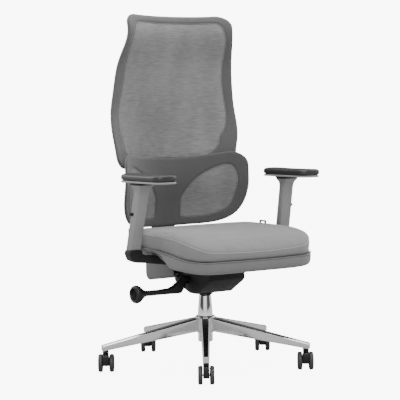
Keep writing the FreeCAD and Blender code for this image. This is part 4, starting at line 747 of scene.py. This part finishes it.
def make_lumbar():
    """Padded lumbar panel with two windows of mesh."""
    windows = [window_outline(side) for name, side in SIDES]
    panel = plate("lumbar_panel.padded", [lumbar_outline()] + windows, LUMBAR_THICK, 0.0075, "front",
                  LUMBAR_FABRIC, PANEL_VOXEL, 5)
    middle = 0.007
    bend(panel, lambda co: Vector((co.x, co.y + middle + LUMBAR_FACE(co.x, co.z), co.z)))
    tidy_faces(panel)
    mount(panel, "lumbar", "frame_fabric", "lumbar_panel")
    for (name, side), window in zip(SIDES, windows):
        sheet = row_sheet("lumbar_mesh." + name, window, LUMBAR_FACE, WINDOW_BEHIND, LUMBAR_MESH, 56, 50,
                          WINDOW_TUCK)
        mount(sheet, "lumbar", "mesh", "lumbar_mesh")
        seam = [(x, LUMBAR_FACE(x, z) + WINDOW_BEHIND, z) for x, z in window]
        mount(tube("lumbar_seam." + name, seam, 0.0009, BAND_THREAD, True), "lumbar", "frame_fabric")


# ---------------------------------------------------------------- the seat
SEAT_HALF = 0.262
SEAT_FRONT = -0.305
SEAT_REAR = 0.152
TOP_CURVE = natural([(-0.325, 0.388), (-0.301, 0.416), (-0.255, 0.444), (-0.175, 0.460), (0.0, 0.464),
                     (0.092, 0.460), (0.172, 0.440)])
SEAM_CURVE = natural([(-0.325, 0.376), (-0.285, 0.3814), (-0.195, 0.3967), (-0.105, 0.4069), (0.0, 0.412),
                      (0.172, 0.416)])
PAN_CURVE = natural([(-0.325, 0.358), (-0.293, 0.3462), (-0.235, 0.3457), (-0.157, 0.3500),
                     (-0.110, 0.3560), (-0.040, 0.3610), (0.030, 0.3630), (0.172, 0.3680)])
PAN_DISH = natural([(0.0, 0.0), (0.120, 0.0), (0.200, 0.003), (0.245, 0.009), (0.272, 0.013)])
SCOOP_HIGH = 0.040


def seat_plan():
    """Return the seat's outline in plan, with its front corners tighter than its rear ones."""
    corner, heel, bow = 0.092, 0.108, 0.006
    right = [(x, SEAT_REAR) for x in np.linspace(0.0, SEAT_HALF - heel, 10)][:-1]
    right += arc((SEAT_HALF - heel, SEAT_REAR - heel), (heel, heel), 90, 0, 22)[:-1]
    right += [(SEAT_HALF, y) for y in np.linspace(SEAT_REAR - heel, SEAT_FRONT + corner, 22)][:-1]
    right += arc((SEAT_HALF - corner, SEAT_FRONT + corner), (corner, corner), 0, -90, 20)[:-1]
    reach = SEAT_HALF - corner
    right += [(x, SEAT_FRONT - bow * (1 - (x / reach) ** 2)) for x in np.linspace(reach, 0.0, 12)]
    return mirrored(right)


SEAT_PLAN = seat_plan()


def inset_ring(inset):
    """Return the seat's plan outline moved inwards."""
    count = len(SEAT_PLAN)
    ring = []
    for i, (x, y) in enumerate(SEAT_PLAN):
        before, after = SEAT_PLAN[i - 1], SEAT_PLAN[(i + 1) % count]
        along = Vector((after[0] - before[0], after[1] - before[1])).normalized()
        ring.append((x - inset * -along.y, y - inset * along.x))
    return ring


def seat_ring(inset, height):
    """Return a ring of points inset from the seat's edge, at a height given by a function of (x, y)."""
    widest = 0.08
    ring = inset_ring(min(inset, widest))
    if inset > widest:
        share = (inset - widest) / (0.27 - widest)
        ring = [(x * (1 - share), y * (1 - share) - 0.08 * share) for x, y in ring]
    return [(x, y, height(x, y)) for x, y in ring]


def top_height(x, y):
    """Return the cushion's top."""
    return TOP_CURVE(y)


def seam_height(x, y):
    """Return the seam between the cushion and its pan."""
    return SEAM_CURVE(y)


def ease(value, low, high):
    """Return 0 below low and 1 above high, with a smooth change between them."""
    share = min(1.0, max(0.0, (value - low) / (high - low)))
    return share * share * (3 - 2 * share)


def pan_height(x, y):
    """Return the pan's underside, with its sides scooped out where the arm brackets enter."""
    scoop = SCOOP_HIGH * ease(abs(x), 0.190, 0.238) * ease(y, -0.170, -0.100)
    return min(PAN_CURVE(y) + PAN_DISH(abs(x)) + scoop, SEAM_CURVE(y) - 0.003)


def between(low, high, share, lift=0.0):
    """Return a height function part of the way between two others."""
    return lambda x, y: low(x, y) * (1 - share) + high(x, y) * share + lift


def inflate(piece, pressure, frames, cap):
    """Blow a closed piece up like stuffed cloth, and limit how far any point goes."""
    rest = [vertex.co.copy() for vertex in piece.data.vertices]
    cloth = piece.modifiers.new("cloth", "CLOTH")
    cloth.settings.use_pressure = True
    cloth.settings.uniform_pressure_force = pressure
    cloth.settings.effector_weights.gravity = 0.0
    cloth.settings.quality = 5
    cloth.settings.tension_stiffness = 30.0
    cloth.settings.compression_stiffness = 30.0
    cloth.collision_settings.use_collision = False
    scene = bpy.context.scene
    for number in range(1, frames + 1):
        scene.frame_set(number)
    settle(piece)
    scene.frame_set(1)
    for vertex, start in zip(piece.data.vertices, rest):
        moved = vertex.co - start
        if moved.length > cap:
            vertex.co = start + moved * (cap / moved.length)
    piece.data.update()


def press_seams(piece, paths, width, depth):
    """Draw a piece's surface in along its seams."""
    points = [point for path in paths for point in path]
    tree = KDTree(len(points))
    for index, point in enumerate(points):
        tree.insert(point, index)
    tree.balance()
    normals = [vertex.normal.copy() for vertex in piece.data.vertices]
    for vertex, normal in zip(piece.data.vertices, normals):
        distance = tree.find(vertex.co)[2]
        if distance < width:
            share = 0.5 + 0.5 * math.cos(math.pi * distance / width)
            vertex.co -= normal * depth * share
    piece.data.update()


def snap(piece, points, lift):
    """Return points moved to a piece's surface and a little above it."""
    moved = []
    for point in points:
        found, place, normal = piece.closest_point_on_mesh(Vector(point))[:3]
        moved.append(place + normal * lift if found else Vector(point))
    return moved


def make_seat():
    """Crowned seat cushion over a shaped pan, with an upper and a lower seam."""
    rings = [seat_ring(0.26, seam_height), seat_ring(0.12, seam_height), seat_ring(0.012, seam_height)]
    rings += [seat_ring(0.0075, between(seam_height, top_height, 0.05)),
              seat_ring(0.0055, between(seam_height, top_height, 0.3)),
              seat_ring(0.0045, between(seam_height, top_height, 0.6)),
              seat_ring(0.0055, between(seam_height, top_height, 0.88)),
              seat_ring(0.0095, between(seam_height, top_height, 0.985)),
              seat_ring(0.020, between(seam_height, top_height, 1.0, 0.001)),
              seat_ring(0.050, between(seam_height, top_height, 1.0, 0.003)),
              seat_ring(0.100, between(seam_height, top_height, 1.0, 0.004)),
              seat_ring(0.180, between(seam_height, top_height, 1.0, 0.002)),
              seat_ring(0.26, between(seam_height, top_height, 1.0, 0.0))]
    cushion = loft("seat_cushion.padded", rings, SEAT_FABRIC)
    remesh(cushion, 0.0055)
    relax(cushion, 3)
    inflate(cushion, 4.0, 20, 0.006)
    upper = [Vector(point) for point in seat_ring(0.005, between(seam_height, top_height, 0.95))]
    tidy_faces(cushion)
    press_seams(cushion, [upper], 0.008, 0.0018)
    refine(cushion)
    mount(cushion, "seat", "seat_fabric", "seat_cushion")
    # The upper seam is drawn in the pale seam knit, a painted highlight along the cushion's top edge.
    seam = tube("seat_seam.upper", snap(cushion, upper, 0.0), 0.0011, SEAM_HIGHLIGHT_FABRIC, True)
    mount(seam, "seat", "seat_fabric")
    lower = seat_ring(0.0048, between(seam_height, top_height, 0.0, 0.0045))
    # The lower seam takes the pan's darkened knit, which is painted shade.
    mount(tube("seat_seam.lower", lower, 0.0016, PAN_SHADED_FABRIC, True), "seat", "seat_fabric")
    underside = (0.26, 0.20, 0.15, 0.11, 0.08, 0.055, 0.038, 0.026, 0.018)
    rings = [seat_ring(inset, pan_height) for inset in underside]
    rim = [(0.0120, 0.04, 0.0), (0.0085, 0.12, 0.0), (0.0062, 0.28, 0.0), (0.0050, 0.5, 0.0),
           (0.0044, 0.8, 0.0), (0.0044, 1.0, 0.0020), (0.0080, 1.0, 0.0040), (0.0160, 1.0, 0.0020),
           (0.12, 1.0, -0.004), (0.26, 1.0, -0.004)]
    rings += [seat_ring(inset, between(pan_height, seam_height, share, lift)) for inset, share, lift in rim]
    # The pan is covered in the darker copy of the seat's knit: painted shade on the underside.
    pan = loft("seat_pan.shell", rings, PAN_SHADED_FABRIC)
    refine(pan)
    mount(pan, "seat", "pan_plastic", "seat_pan")
    outline = [(x, y) for x, y in mirrored([(0.0, -0.150), (0.104, -0.150), (0.104, 0.095), (0.0, 0.095)])]
    foot = plate("seat_pan.mount", [outline], 0.044, 0.004, "plan", BLACK, 0)
    bend(foot, lambda co: Vector((co.x, co.y, co.z + 0.378)))
    mount(foot, "seat", "pan_plastic")


# ---------------------------------------------------------------- arms
def rounded_box_outline(half_x, half_y, radius, centre=(0.0, 0.0)):
    """Return a rectangle with round corners."""
    points = []
    for start, sx, sy in ((-90, 1, -1), (0, 1, 1), (90, -1, 1), (180, -1, -1)):
        middle = (centre[0] + sx * (half_x - radius), centre[1] + sy * (half_y - radius))
        points += arc(middle, (radius, radius), start, start + 90, 8)
    return points


def make_arm(name, side):
    """Arm: leaning sleeve with a flared head, a pale tray and a soft pad."""
    foot = Vector((side * 0.301, -0.033, 0.414))
    head = Vector((side * 0.292, -0.076, 0.618))
    lean = (head - foot).normalized()
    rings = []
    for z, half_x, half_y, corner in ((0.4146, 0.0208, 0.0133, 0.005), (0.4154, 0.0216, 0.0141, 0.0058),
                                      (0.590, 0.0216, 0.0141, 0.0058), (0.602, 0.0222, 0.0150, 0.0064),
                                      (0.610, 0.0240, 0.0175, 0.008), (0.616, 0.0270, 0.0220, 0.010),
                                      (0.620, 0.0300, 0.0270, 0.012), (0.6222, 0.0310, 0.0280, 0.013),
                                      (0.6234, 0.0306, 0.0276, 0.013)):
        centre = foot + lean * ((z - foot.z) / lean.z)
        rings.append([centre + Vector((x, y, 0.0)) for x, y in rounded_box_outline(half_x, half_y, corner)])
    sleeve = loft("arm_sleeve_%s.look" % name, rings, GREY_PALE)
    mount(sleeve, "arm_" + name, "grey_plastic", "arm_sleeve_" + name)
    soften("arm_bracket_" + name, 0.004, BLACK, "black_casting", 3)
    soften("pad_slider_" + name, 0.0015, BLACK, "black_plastic")
    centre = (side * 0.2875, -0.105)
    corner = 0.030
    tray_middle = 0.63325
    tray = plate("pad_tray_%s.look" % name, [rounded_box_outline(0.0425, 0.1155, corner, centre)], 0.0065,
                 0.0028, "plan", GREY_PALE, 0)
    bend(tray, lambda co: Vector((co.x, co.y, co.z + tray_middle)))
    mount(tray, "pad_" + name, "grey_plastic", "pad_tray_" + name)
    half_wide, half_long = 0.0435, 0.1165
    pad_middle = 0.6466
    pad = plate("arm_pad_%s.padded" % name, [rounded_box_outline(half_wide, half_long, corner, centre)], 0.020,
                0.0085, "plan", PAD_SKIN, 0.003, 6)

    def crown(co):
        """Raise the pad's middle and dip its top lengthwise."""
        across = (co.x - centre[0]) / half_wide
        along = (co.y - centre[1]) / half_long
        rise = 0.0022 * (1 - across * across) - 0.0012 * (1 - along * along)
        return Vector((co.x, co.y, co.z + pad_middle + (rise if co.z > 0 else 0.0)))

    bend(pad, crown)
    refine(pad)
    mount(pad, "pad_" + name, "pad_foam", "arm_pad_" + name)


# ---------------------------------------------------------------- mechanism and controls
def make_controls():
    """Lever with its deep bend, the bell knob and the moulded and cast parts under the seat."""
    outline = [(0.0035, 0.2950), (0.0035, 0.2998), (-0.054, 0.3060), (-0.077, 0.3065), (-0.080, 0.3120),
               (-0.088, 0.3168), (-0.101, 0.3080), (-0.115, 0.2925), (-0.128, 0.2825), (-0.148, 0.2755),
               (-0.190, 0.2735), (-0.2335, 0.2740), (-0.2335, 0.2560), (-0.190, 0.2560), (-0.138, 0.2552),
               (-0.103, 0.2540), (-0.098, 0.2565), (-0.086, 0.2720), (-0.077, 0.2895), (-0.048, 0.2905)]
    lever = plate("control_lever.look", [outline], 0.018, 0.0045, "front", BLACK, 0.002, 8)
    mount(lever, "lever", "black_plastic", "control_lever")
    profile = [(0.0, 0.001), (0.0090, 0.001), (0.0100, 0.002), (0.0105, 0.006), (0.0125, 0.012), (0.0170, 0.018),
               (0.0230, 0.0245), (0.0277, 0.031), (0.0300, 0.0375), (0.0298, 0.043), (0.0278, 0.048),
               (0.0247, 0.0512), (0.0222, 0.0518), (0.0200, 0.0508), (0.0184, 0.0470), (0.0176, 0.0400),
               (0.0160, 0.0375), (0.0, 0.0370)]
    knob = lathe("tension_knob.look", profile, (-0.2325, 0.0, 0.265), (-1, 0, 0), BLACK)
    refine(knob)
    mount(knob, "knob", "black_plastic", "tension_knob")
    soften("mechanism_housing", 0.004, BLACK_COAT, "black_casting", 3)
    bracket = soften("back_bracket", 0.003, BLACK, "spine_paint", 2)
    bend(bracket, clear_of_cover)
    soften("seat_plate", 0.0008, BLACK_COAT, "black_casting")
    soften("lumbar_knuckle", 0.0015, BLACK, "black_plastic")
    paint(BLACK_SMOOTH, "seat_axle", "tilt_axle")
    paint(STEEL, "caster_stems", "piston_rod", "release_pin", "thrust_bearing",
          "lever_pivot", "lumbar_hinge", "arm_upright_left", "arm_upright_right")
    paint(SPRING, "tilt_spring")
    paint(BUSH, "guide_bush")
    paint(BLACK_SMOOTH, "arm_button_left", "arm_button_right")


def cover_low(y):
    """Return the height of the grey cover's lower edge, which falls towards the rear."""
    return 0.306 - 0.186 * (y - 0.060)


def clear_of_cover(co):
    """Lift a point of the bracket above the grey cover's lower edge, so that none of it shows below."""
    if 0.02 < co.y < 0.2:
        return Vector((co.x, co.y, max(co.z, cover_low(co.y) + 0.002)))
    return co


def make_cover():
    """Grey cover of the back bracket: a block behind the housing and two cheeks beside it."""
    turn = 0.205
    radius = 0.025
    low = cover_low(turn)
    rear = [(turn, low)] + arc((turn, low + radius), (radius, radius), -90, 0, 8)[1:]
    rear += [(0.230, 0.346), (0.228, 0.352), (0.221, 0.356)]
    cheek_front = [(0.140, 0.356), (0.105, 0.345), (0.072, 0.334), (0.061, 0.324), (0.058, 0.314),
                   (0.064, cover_low(0.064))]
    block_front = [(0.121, 0.356), (0.121, cover_low(0.121))]
    block = plate("spine_cover.block", [rear + block_front], 0.170, 0.004, "plan", GREY, 0)
    bend(block, lambda co: Vector((co.z, co.x, co.y)))
    tidy_faces(block)
    mount(block, "back", "grey_plastic", "spine_cover")
    for name, side in SIDES:
        cheek = plate("spine_cover.cheek_" + name, [rear + cheek_front], 0.006, 0.0025, "plan", GREY, 0)
        bend(cheek, lambda co: Vector((side * 0.0838 + co.z, co.x, co.y)))
        tidy_faces(cheek)
        mount(cheek, "back", "grey_plastic")


# ---------------------------------------------------------------- base and casters
def make_base():
    """Polished star, chrome column and twin-wheel casters."""
    soften("star_base", 0.0022, POLISHED, "polished_aluminium", 3)
    profile = [(0.0, 0.085), (0.021, 0.085), (0.0243, 0.0865), (0.025, 0.089), (0.025, 0.178),
               (0.0248, 0.184), (0.0207, 0.238), (0.0200, 0.2412), (0.0192, 0.242), (0.0150, 0.242),
               (0.0146, 0.2405), (0.0142, 0.230)]
    column = lathe("column_tube.look", profile, (0, 0, 0), (0, 0, 1), CHROME, 64)
    mount(column, "base", "lift_paint", "column_tube")
    paint(CHROME, "pressure_tube")
    heading = math.radians(55.0)
    trail = Vector((math.cos(heading), math.sin(heading), 0)) * 0.021
    axle = Vector((math.sin(heading), -math.cos(heading), 0))
    tread = [(0.0031, 0.0), (0.0240, 0.0), (0.0262, 0.0003), (0.0288, 0.0016), (0.0299, 0.0042), (0.0300, 0.0075),
             (0.0299, 0.0104), (0.0288, 0.0131), (0.0268, 0.0146), (0.0252, 0.0150), (0.0236, 0.0147),
             (0.0226, 0.0132), (0.0216, 0.0127)]
    face = [(0.0, 0.0080), (0.0216, 0.0080), (0.0219, 0.0126), (0.0200, 0.0130), (0.0170, 0.0126), (0.0110, 0.0125),
            (0.0096, 0.0129), (0.0088, 0.0143), (0.0070, 0.0149), (0.0, 0.0150)]
    for index in range(CASTERS):
        turn = math.radians(19.0 + 72.0 * index)
        centre = Vector((0.345 * math.cos(turn), 0.345 * math.sin(turn), 0.030)) + trail
        soften("caster_%d_hood" % index, 0.0018, BLACK, "black_plastic")
        paint(STEEL, "caster_%d_axle" % index)
        for name, side in SIDES:
            node = "caster_%d_wheel_%s" % (index, name)
            body = "wheel_%d_%s" % (index, name)
            start = centre + axle * side * 0.011
            mount(lathe(node + ".tread", tread, start, axle * side, WHEEL, 56), body, "caster_tread", node)
            mount(lathe(node + ".face", face, start, axle * side, WHEEL_FACE, 40), body, "caster_tread")


make_stage()
make_upper_back()
make_lumbar()
make_seat()
for side_name, side_sign in SIDES:
    make_arm(side_name, side_sign)
make_controls()
make_cover()
make_base()
